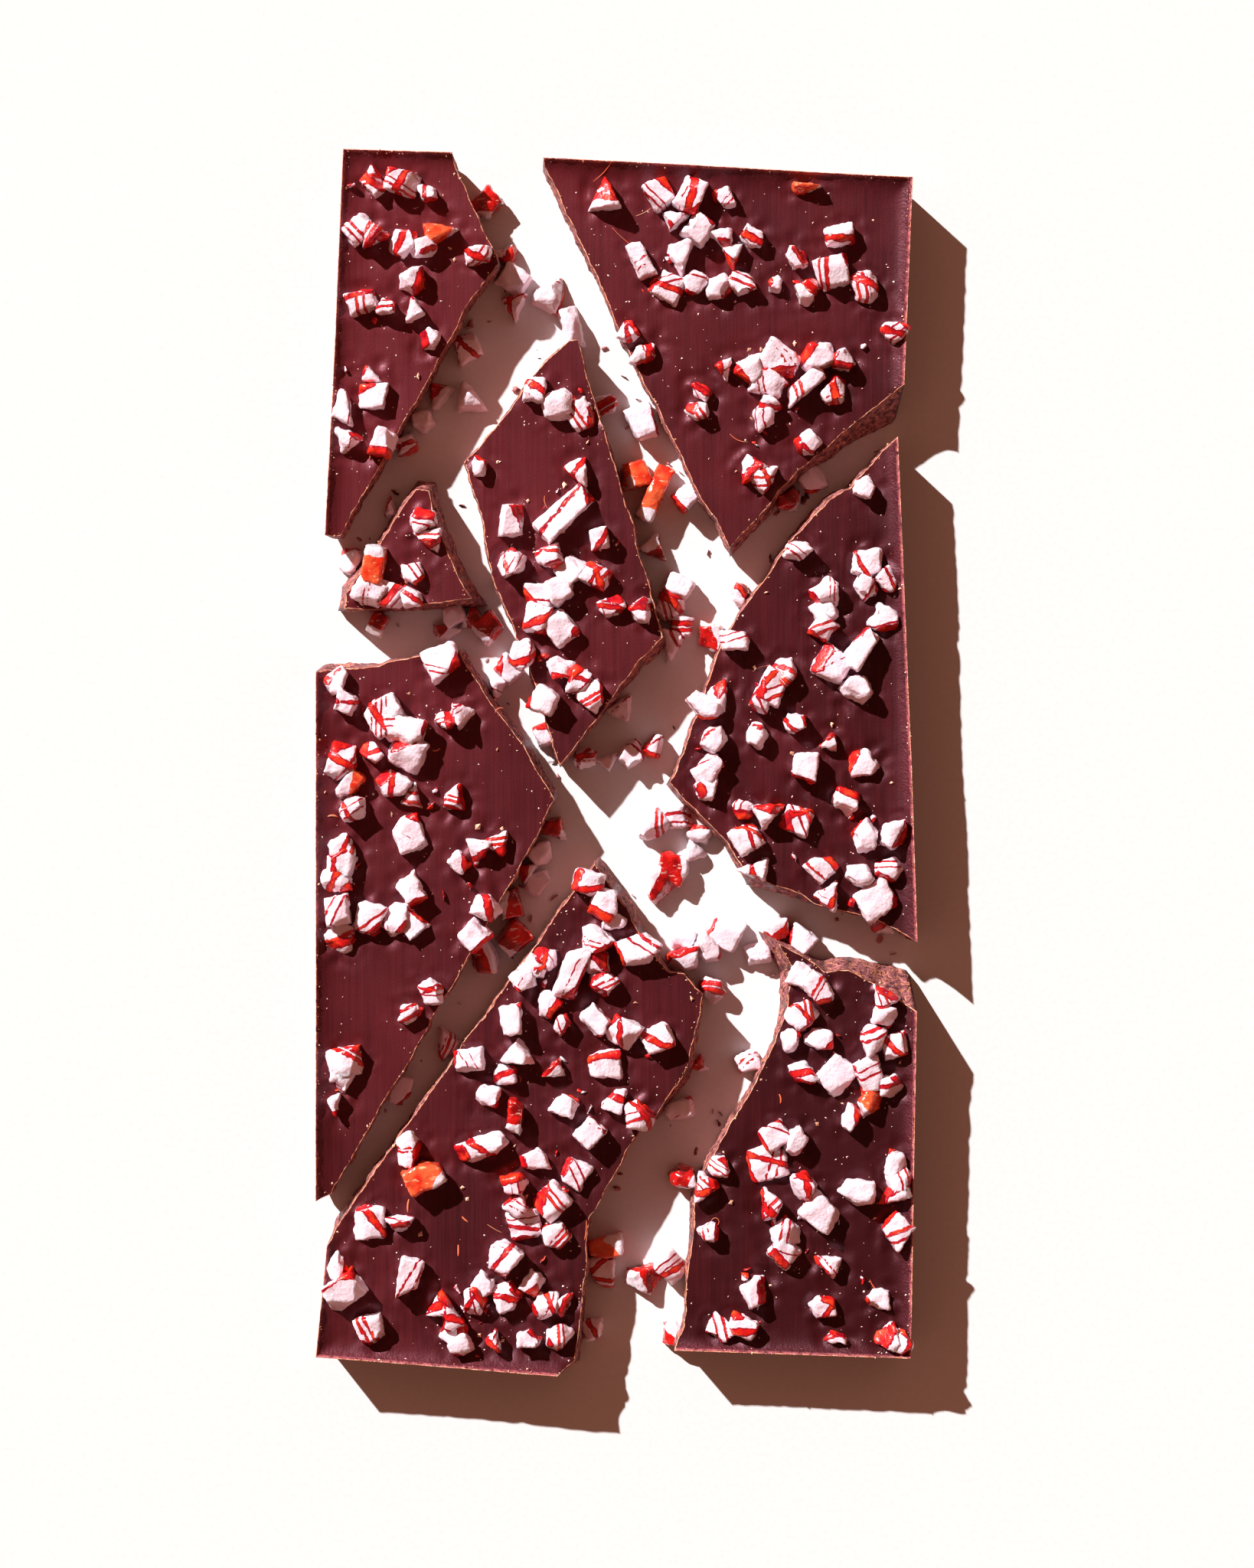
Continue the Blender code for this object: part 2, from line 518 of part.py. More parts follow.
def is_held(piece, side, neighbours):
    """Whether a low piece grips the side of its own shard or a piece that does."""
    base = footprint(piece, 0.5)
    for place in base:
        if inside(side, place) and (nearest_on(side, place) - place).length > BITE:
            return True
    return any(overlap(base, footprint(other, 0.5)) > BITE for other in neighbours)


def settled(piece, side, neighbours):
    """Slides a low piece towards the nearest thing of its own shard until it is held."""
    for _ in range(round(FARTHEST / SLIDE)):
        if is_held(piece, side, neighbours):
            return piece
        middle = Vector((piece.x, piece.y))
        goals = [nearest_on(side, middle)] + [Vector((other.x, other.y)) for other in neighbours]
        nearest = min(goals, key=lambda goal: (goal - middle).length)
        middle += (nearest - middle).normalized() * SLIDE
        piece = piece._replace(x=middle.x, y=middle.y)
    return None


def keeps_clear(piece, name, sides, others):
    """Whether a low piece stays off every other shard and off the low pieces of other shards."""
    rim = footprint(piece)
    for other, side in sides.items():
        if other == name:
            continue
        for place in rim:
            if inside(side, place) or (place - nearest_on(side, place)).length < CLEAR:
                return False
    for owner, taken in others:
        if owner != name and overlap(rim, footprint(taken)) > -CLEAR:
            return False
    return True


def low_pieces(name, shard):
    """The candy that lies in the breaks beside a shard, before it is settled."""
    rng = random.Random(name + " low")
    colours = ("white_candy", "white_candy", "red_candy")
    for single in shard.stuck:
        yield Piece(
            single.x, single.y, LIFT, single.length, single.width, single.height,
            single.turn, single.cut, single.colour, f"{name} stuck {single.x}",
        )
    for row in shard.caught:
        for x, y in along_row(row):
            piece = drawn_piece(rng, x, y, LIFT + rng.uniform(0, 0.15), f"{name} low {x:.1f}")
            yield piece._replace(colour=rng.choice(colours))


def pieces_caught():
    """The candy caught in the breaks, each piece held by its own shard and clear of the rest."""
    sides = {name: flank(shard) for name, shard in SHARDS.items()}
    placed = []
    for name, shard in SHARDS.items():
        for piece in low_pieces(name, shard):
            own = [other for owner, other in placed if owner == name]
            piece = settled(piece, sides[name], own)
            if piece and keeps_clear(piece, name, sides, placed):
                placed.append((name, piece))
    return placed


def material(name):
    """A plain finish: base colour and roughness."""
    if name in bpy.data.materials:
        return bpy.data.materials[name]
    colour, roughness = COLOURS[name]
    made = bpy.data.materials.new(name)
    made.use_nodes = True
    made.diffuse_color = (*colour, 1.0)
    shader = made.node_tree.nodes["Principled BSDF"]
    shader.inputs["Base Color"].default_value = (*colour, 1.0)
    shader.inputs["Roughness"].default_value = roughness
    shader.inputs["Metallic"].default_value = 0.0
    return made


def candy_object(piece, collection):
    """One piece of candy as a closed hull."""
    middle = Vector((piece.x, piece.y, piece.z))
    bm = bmesh.new()
    for corner in piece_corners(piece):
        bm.verts.new((middle + corner) * MM)
    hull = bmesh.ops.convex_hull(bm, input=bm.verts)
    loose = [vert for vert in bm.verts if not vert.link_faces]
    bmesh.ops.delete(bm, geom=loose, context="VERTS")
    bmesh.ops.recalc_face_normals(bm, faces=bm.faces)
    mesh = bpy.data.meshes.new("candy")
    bm.to_mesh(mesh)
    bm.free()
    mesh.materials.append(material(piece.colour))
    candy = bpy.data.objects.new("candy", mesh)
    collection.objects.link(candy)
    return candy


def largest_body(mesh):
    """Keeps the outer skin: a sealed hollow is filled and a loose scrap dropped."""
    bm = bmesh.new()
    bm.from_mesh(mesh)
    left = set(bm.faces)
    bodies = []
    while left:
        body, front = [], [left.pop()]
        while front:
            face = front.pop()
            body.append(face)
            fresh = {other for edge in face.edges for other in edge.link_faces if other in left}
            left -= fresh
            front.extend(fresh)
        bodies.append(body)
    bodies.sort(key=len)
    for body in bodies[:-1]:
        bmesh.ops.delete(bm, geom=body, context="FACES")
    bmesh.ops.triangulate(bm, faces=bm.faces)
    bm.to_mesh(mesh)
    bm.free()


def make_shard(name, shard, pieces):
    """Makes one shard, its candy fused on by a single union."""
    slab = bpy.data.objects.new(name, slab_mesh(name, shard))
    slab.data.materials.append(material("chocolate"))
    bpy.context.scene.collection.objects.link(slab)
    candies = bpy.data.collections.new(name + "_candy")
    bpy.context.scene.collection.children.link(candies)
    for piece in pieces:
        candy_object(piece, candies)
    union = slab.modifiers.new("candy", "BOOLEAN")
    union.operation = "UNION"
    union.solver = "EXACT"
    union.material_mode = "TRANSFER"
    union.operand_type = "COLLECTION"
    union.collection = candies
    graph = bpy.context.evaluated_depsgraph_get()
    fused = bpy.data.meshes.new_from_object(slab.evaluated_get(graph))
    slab.modifiers.clear()
    slab.data = fused
    for candy in list(candies.objects):
        bpy.data.objects.remove(candy)
    bpy.data.collections.remove(candies)
    largest_body(fused)
    fused.name = name


def main():
    for old in list(bpy.data.objects):
        bpy.data.objects.remove(old)
    caught = pieces_caught()
    for name, shard in SHARDS.items():
        low = [piece for owner, piece in caught if owner == name]
        make_shard(name, shard, pieces_on_top(name, shard) + low)


main()
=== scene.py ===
"""Peppermint bark as it looks: the chocolate and candy of every shard in fine detail.

The tables of shards and the functions that place the candy are those of the CAD solids, so that
each detailed piece lies where its solid does. Lengths are in millimetres, which MM turns to metres.
"""

import math
import random
from collections import namedtuple

import bmesh
import bpy
import numpy as np
from mathutils import Matrix, Vector, geometry, noise


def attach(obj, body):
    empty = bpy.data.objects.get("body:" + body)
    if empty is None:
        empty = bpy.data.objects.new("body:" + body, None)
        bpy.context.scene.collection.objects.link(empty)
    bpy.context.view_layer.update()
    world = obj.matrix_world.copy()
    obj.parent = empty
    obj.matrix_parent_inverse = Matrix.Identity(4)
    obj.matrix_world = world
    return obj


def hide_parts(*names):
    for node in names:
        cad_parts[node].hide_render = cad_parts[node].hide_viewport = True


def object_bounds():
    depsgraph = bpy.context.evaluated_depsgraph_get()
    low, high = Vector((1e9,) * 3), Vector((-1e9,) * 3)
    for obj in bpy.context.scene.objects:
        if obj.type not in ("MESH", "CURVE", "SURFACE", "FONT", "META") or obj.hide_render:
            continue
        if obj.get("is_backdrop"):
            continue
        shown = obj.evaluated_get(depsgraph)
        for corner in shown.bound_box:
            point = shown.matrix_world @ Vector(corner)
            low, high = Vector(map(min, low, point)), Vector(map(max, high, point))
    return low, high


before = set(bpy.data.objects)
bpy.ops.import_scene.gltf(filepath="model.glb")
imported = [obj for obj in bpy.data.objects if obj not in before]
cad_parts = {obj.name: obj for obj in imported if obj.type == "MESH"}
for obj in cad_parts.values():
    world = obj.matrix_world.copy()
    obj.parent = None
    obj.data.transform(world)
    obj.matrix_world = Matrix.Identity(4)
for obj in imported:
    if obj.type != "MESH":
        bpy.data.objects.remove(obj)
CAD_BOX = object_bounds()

MM = 0.001

# The chocolate
THICK = 7.0  # table to the flat of the top face
RIM_WIDE = 1.5  # the lip that set against the wall of the mould
DRAFT = 0.8  # how far a moulded side leans in at its foot
BASE_ROUND = 0.35  # softening of the bottom edge
STRAIGHT = 0.35  # turn below which a corner moves as if it had none
MITRE = 1.8  # most that a corner moves, as a share of how far its edges do
FLANK_AT = 0.2  # share of the height where candy in the breaks meets a side
STEP = 5.0  # spacing of points along an edge, as the solid has it
JAG = 0.34  # waver of a broken edge, and its length
JAG_LONG = 5.0
CRAG = 0.5  # relief of a broken face, and its length
CRAG_LONG = 3.6
CRAG_FLAT = 1.7  # how much flatter than long the crags are

# The candy
SUNK = 0.8  # how deep a piece sits in the chocolate
BITE = 0.5  # how deep a piece caught in a break grips it
SLIDE = 0.2  # step by which such a piece is pushed home, and how far at most
FARTHEST = 4.6
LIFT = 0.1  # underside of a caught piece above the table, and how much it varies
LIFT_VARIES = 0.15
BASE_SHARE = 0.5  # share of its height that a piece grips with
CLEAR = 0.45  # gap kept between things that belong to different shards
SIZES = (3.4, 6.4, 4.8)  # shortest, longest and usual length of a piece
HEIGHTS = (1.3, 3.8, 2.7)  # the same for how far it stands up
SLIMNESS = (0.7, 1.0)  # width as a share of length
WANDER = 0.4  # how far a piece strays from its row
RIDGED = 4.9  # pieces longer than this have a peak on top, which lies within these shares
PEAK = ((-0.4, 0.4), (-0.3, 0.3), (1.0, 1.1))
WIDEST = 45.9  # how far from the middle candy may stand out, across and along
LONGEST = 93.9

# A cut holds how many corners a piece has seen from above and how far these stray from even, both
# round it and inwards, whether the first starts anywhere, and how far its top draws in and tilts.
Cut = namedtuple("Cut", "corners stray dent spin draw_in tilt")
CUTS = {
    "lump": Cut(5, 0.3, 0.25, 1, 0.32, 0.35),
    "wedge": Cut(3, 0.2, 0.2, 1, 0.35, 0.4),
    "slab": Cut(4, 0.14, 0.16, 0, 0.2, 0.2),
    "stick": Cut(4, 0.05, 0.06, 0, 0.1, 0.1),
}

# Detail of the chocolate
FINE_STEP = 0.5  # spacing of points along an edge
GRID = 0.5  # spacing of points on the top face, how far they stray as a share of it, and
GRID_STRAY = 0.2  # how far they stay off the edge
GRID_CLEAR = 0.3
FINE_LEVELS = (0, 0.05, 0.1, 0.16, 0.26, 0.37, 0.48, 0.58, 0.68, 0.78, 0.87, 0.94, 0.98, 1)
RINGS = ((0.08, 0.85), (0.2, 0.3), (0.4, 0), (0.7, 0))  # insets just inside the edge, and their wear
FOOT_SHARE = 0.16  # share of the height over which the bottom edge is softened
CRUMBLE = 0.1  # finest unevenness of a break, and its length
CRUMBLE_LONG = 0.9
FACE_GRAIN = 1.6  # how much coarser a broken face is than its edge
EDGE_CALM = 1.5  # length beside a corner over which a broken edge comes to rest, and how broken
BROKEN_LEAST = 0.3  # it still is there
WAVE = 0.04  # slow waves of the top face, and their length
WAVE_LONG = 14.0
CREST_ROUGH = 0.2  # unevenness of the rim's crest, as a share of its height, and its length
CREST_LONG = 1.5
CREST_IN = 0.1  # how far in from the side the crest reaches
LIP_HIGH = 0.85  # the steep part of the rim, and how far in it reaches
LIP_WIDE = 0.65
SWELL_HIGH = 0.6  # its long slope, how far in that reaches, how much it varies, and its length
SWELL_WIDE = 2.1
SWELL_VARIES = 0.9
SWELL_LONG = 24.0
RIM_BAND_WIDE = 0.8  # how far in the rim's band reaches, with its painted sheen and dust, painted highlight, rougher satin and coarser grain
CREST_DROP = 0.15  # how far down a side an edge's pale wear goes
RUFFLE = 0.6  # how much the top is ruffled round the candy, its length, and how far out
RUFFLE_LONG = 1.9
RUFFLE_WIDE = 1.8
DIP = 0.26  # how deep the chocolate dips round a piece of candy, and how wide
DIP_WIDE = 1.3
DIP_FROM = 0.9  # how far out a piece of candy counts as solid, as a share of its size
CLING = 0.1  # how far it climbs against the piece, and how wide
CLING_WIDE = 0.3

# Detail of the candy
TALLER = 1.3  # how much higher than its solid a piece caught in a break stands
TOP_TILT = 0.18  # how far the flat top of a piece may tilt, and how much is broken off to make it
TOP_DEEP = (0.06, 0.26)
BREAKS = 2  # corners broken off each piece
BREAK_DEEP = (0.06, 0.24)  # how much each takes, as a share of the piece's length that way
FLAT = 9  # degrees below which two faces are joined, and length below which an edge is
SHORT = 0.05
FINENESS = (2.2, 1.1, 0.62)  # longest edges of the mesh as it is split finer
WORN = (0, 1, 1, 2)  # rounds of smoothing that wear the edges
CHIPS = (1, 1, 2, 2)  # shell-shaped chips in the sides of a piece
CHIP_ROUND = (0.8, 2.1)
CHIP_DEEP = (0.3, 0.95)
CHIP_UP = (0.4, 0.9)  # how high up a chip's middle is, as a share of the height
ROUGH = (0.1, 0.28)  # slow unevenness of the faces, its length, and how far it swells outwards
LUMP_LONG = 1.7
SWOLLEN = 0.25
RAGGED = 0.34  # raggedness of the sides, and its length
RAGGED_LONG = 0.8
NICK = 0.05  # fine unevenness, and its length
NICK_LONG = 0.5
LINED = 0.52  # share of the pieces with red lines, with a red side, with one red stroke
SIDED = 0.9
STROKED = 0.36
UPRIGHT = 0.25  # most that the red side of a caught piece faces up
LINE_SPACING = (0.8, 1.5)  # between the lines of a bundle
BUNDLE = (0.5, 1.4)  # half the width of the bundle
LINES_ASIDE = 0.25  # how far it lies off the middle, as a share of the piece's length
LINE_WIDE = (0.24, 0.55)
SIDE_DEEP = (0.35, 1.5)  # how deep the red of a side goes
FACETED = 0.5  # share of the red sides that are a broken corner's face
FACET_DEEP = 0.22
STROKE_WIDE = (0.3, 0.7)
STROKE_ASIDE = 0.6  # how far off the middle a stroke lies
END_DEEP = 0.7  # how much deeper the white end of a red or amber piece is
FAR = 40  # how far off the unevenness of a piece is taken from, so that no two are alike
LOWEST = 0.02  # candy stays this far above the table

# Small things on and beside the shards. Each kind holds its shortest, longest and usual length,
# and its least and most width and height as shares of that.
SPECKS = 4.5  # sugar specks for each piece of candy, and the share of them that lie anywhere
SPECKS_SPREAD = 0.55
FLAKES = 0.25  # the same for chocolate flakes
FLAKES_SPREAD = 0.7
NEAR_CANDY = 3.2  # how far from a piece the rest of them lie
EDGE_CRUMBS = 0.5  # share of the places along an edge where a crumb lies, and how these bunch
EDGE_CRUMBS_LONG = 7.0
ON_SIDE = 0.5  # share of these that stick to the side of a break, and within which shares of its height
CRUMB_UP = (0.4, 0.97)
CRUMB_IN = (-0.05, 0.9, 0.1)  # how far in from the edge the others lie
GRAIN_RISE = 0.3  # share of a grain's height by which its middle is above the chocolate
BITS = 0.3  # bits broken off the candy, for each piece, how far they lie off, and how deep they sit
BIT_AWAY = (2.2, 4.5)
BIT_SUNK = 0.15
CRUMBS = 9  # chocolate crumbs on the floor beside each shard, and how far they lie off
CRUMB_AWAY = (0.5, 4.0)
HAIR_STEPS = 10
HAIR_TAPER = 0.6  # how much thinner a hair is at its ends
Grit = namedtuple("Grit", "lengths widths heights")
SPECK = Grit((0.14, 0.6, 0.2), (0.35, 0.9), (0.25, 0.5))
FLAKE = Grit((0.5, 1.5, 0.7), (0.35, 0.9), (0.25, 0.5))
EDGE_CRUMB = Grit((0.2, 0.75, 0.3), (0.4, 0.9), (0.4, 0.7))
BIT = Grit((0.8, 1.9, 1.0), (0.5, 1.0), (0.4, 0.8))
CRUMB = Grit((0.35, 1.9, 0.6), (0.35, 0.9), (0.3, 0.6))

# Colours
CHOCOLATE_DARK = (0.031, 0.0023, 0.0031)
CHOCOLATE_LIGHT = (0.122, 0.0120, 0.0155)
# Painted sheen mixed with dust along the rims, and a painted highlight along their very edge
RIM_DUST_AND_SHEEN = (0.165, 0.021, 0.035)
RIM_HIGHLIGHT = (0.55, 0.15, 0.16)
SHEEN = (1.0, 0.48, 0.58)
PAINTED_FALLOFF = (-6.0, 2.8, 0.0)  # painted shade: how the chocolate darkens towards the lower right, for each metre, as if its light fell off there
BREAK_DARK = (0.035, 0.010, 0.011)
BREAK_LIGHT = (0.52, 0.18, 0.175)
CREST = (0.95, 0.36, 0.19)
CREST_SHARE = 0.92  # how much of the pale colour a worn crest takes
SATIN = 0.36  # roughness of the plain chocolate at its smoothest
WHITE = (0.9, 0.77, 0.82)
WHITE_SHADED = (0.9, 0.67, 0.74)
CRIMSON = (0.34, 0.002, 0.014)
RED = (0.70, 0.010, 0.008)
RED_ORANGE = (0.88, 0.055, 0.012)
RED_DEEP = (0.28, 0.002, 0.004)
# The pale red paints glints on the red candy and tints some sugar specks; the pale amber paints glints on
# the amber candy.
PALE_RED = (0.9, 0.5, 0.42)
AMBER_DEEP = (0.85, 0.035, 0.012)
AMBER = (1.0, 0.15, 0.05)
AMBER_GLINT = (0.95, 0.55, 0.3)
SUGAR = (0.95, 0.85, 0.78)
CREAM = (0.92, 0.6, 0.4)
TAN = (0.5, 0.22, 0.12)
PAPER = ((0.735, 0.735, 0.72), (0.815, 0.815, 0.8))
LINE_CORE = 0.25  # how far inside their crimson border lines and sides turn vivid, and how soft that
SIDE_CORE = 0.34  # border's outside is
SOFT = 0.02
CHOCOLATE_RELIEF = 0.32  # height of the bumps
WHITE_RELIEF = 0.13
CLEAR_RELIEF = 0.4

# Light, floor and camera
KEY = 7.2
KEY_COLOUR = (1.0, 0.985, 1.0)
KEY_UP = 32  # height of the key above the horizon, its turn from +X, and its softness
KEY_TURN = 133
KEY_SOFT = 1.0
FILL_LOW = 0.52  # strength of the fill at the horizon and straight above
FILL_HIGH = 0.09
FILL_COLOUR = (1.0, 0.375, 0.235)
FLOOR = 1600.0
FLOOR_AT = -0.02
LENS = 85.0
SENSOR = 36.0
FRAME_HIGH = 241.0  # what the camera takes in at the height of the top face
FRAME_MIDDLE = (1.65, -3.3)

# A corner holds its place and then what starts there: MOULDED, or how far the foot of that break
# stands out beyond its top edge. Corners run clockwise. A row of candy holds its two ends and its
# count where that isn't two, or one place. A single holds its middle, length, width, height, turn in
# degrees, cut and colour; the last two may be left out for a white lump. Caught pieces lie in the
# breaks, and so do the single ones that are stuck there. A hair holds where it starts, its length,
# its turn and bend in degrees and its thickness.
MOULDED = "moulded"
Shard = namedtuple("Shard", "corners rows singles caught stuck hairs", defaults=((), ()))
Single = namedtuple(
    "Single", "x y length width height turn cut colour", defaults=("lump", "white_candy")
)
Piece = namedtuple("Piece", "x y z length width height turn cut colour seed")
EdgePoint = namedtuple("EdgePoint", "place normal foot inward broken")
Marks = namedtuple(
    "Marks", "lines lines_at bundle spacing line_wide side side_from stroke stroke_at stroke_wide"
)

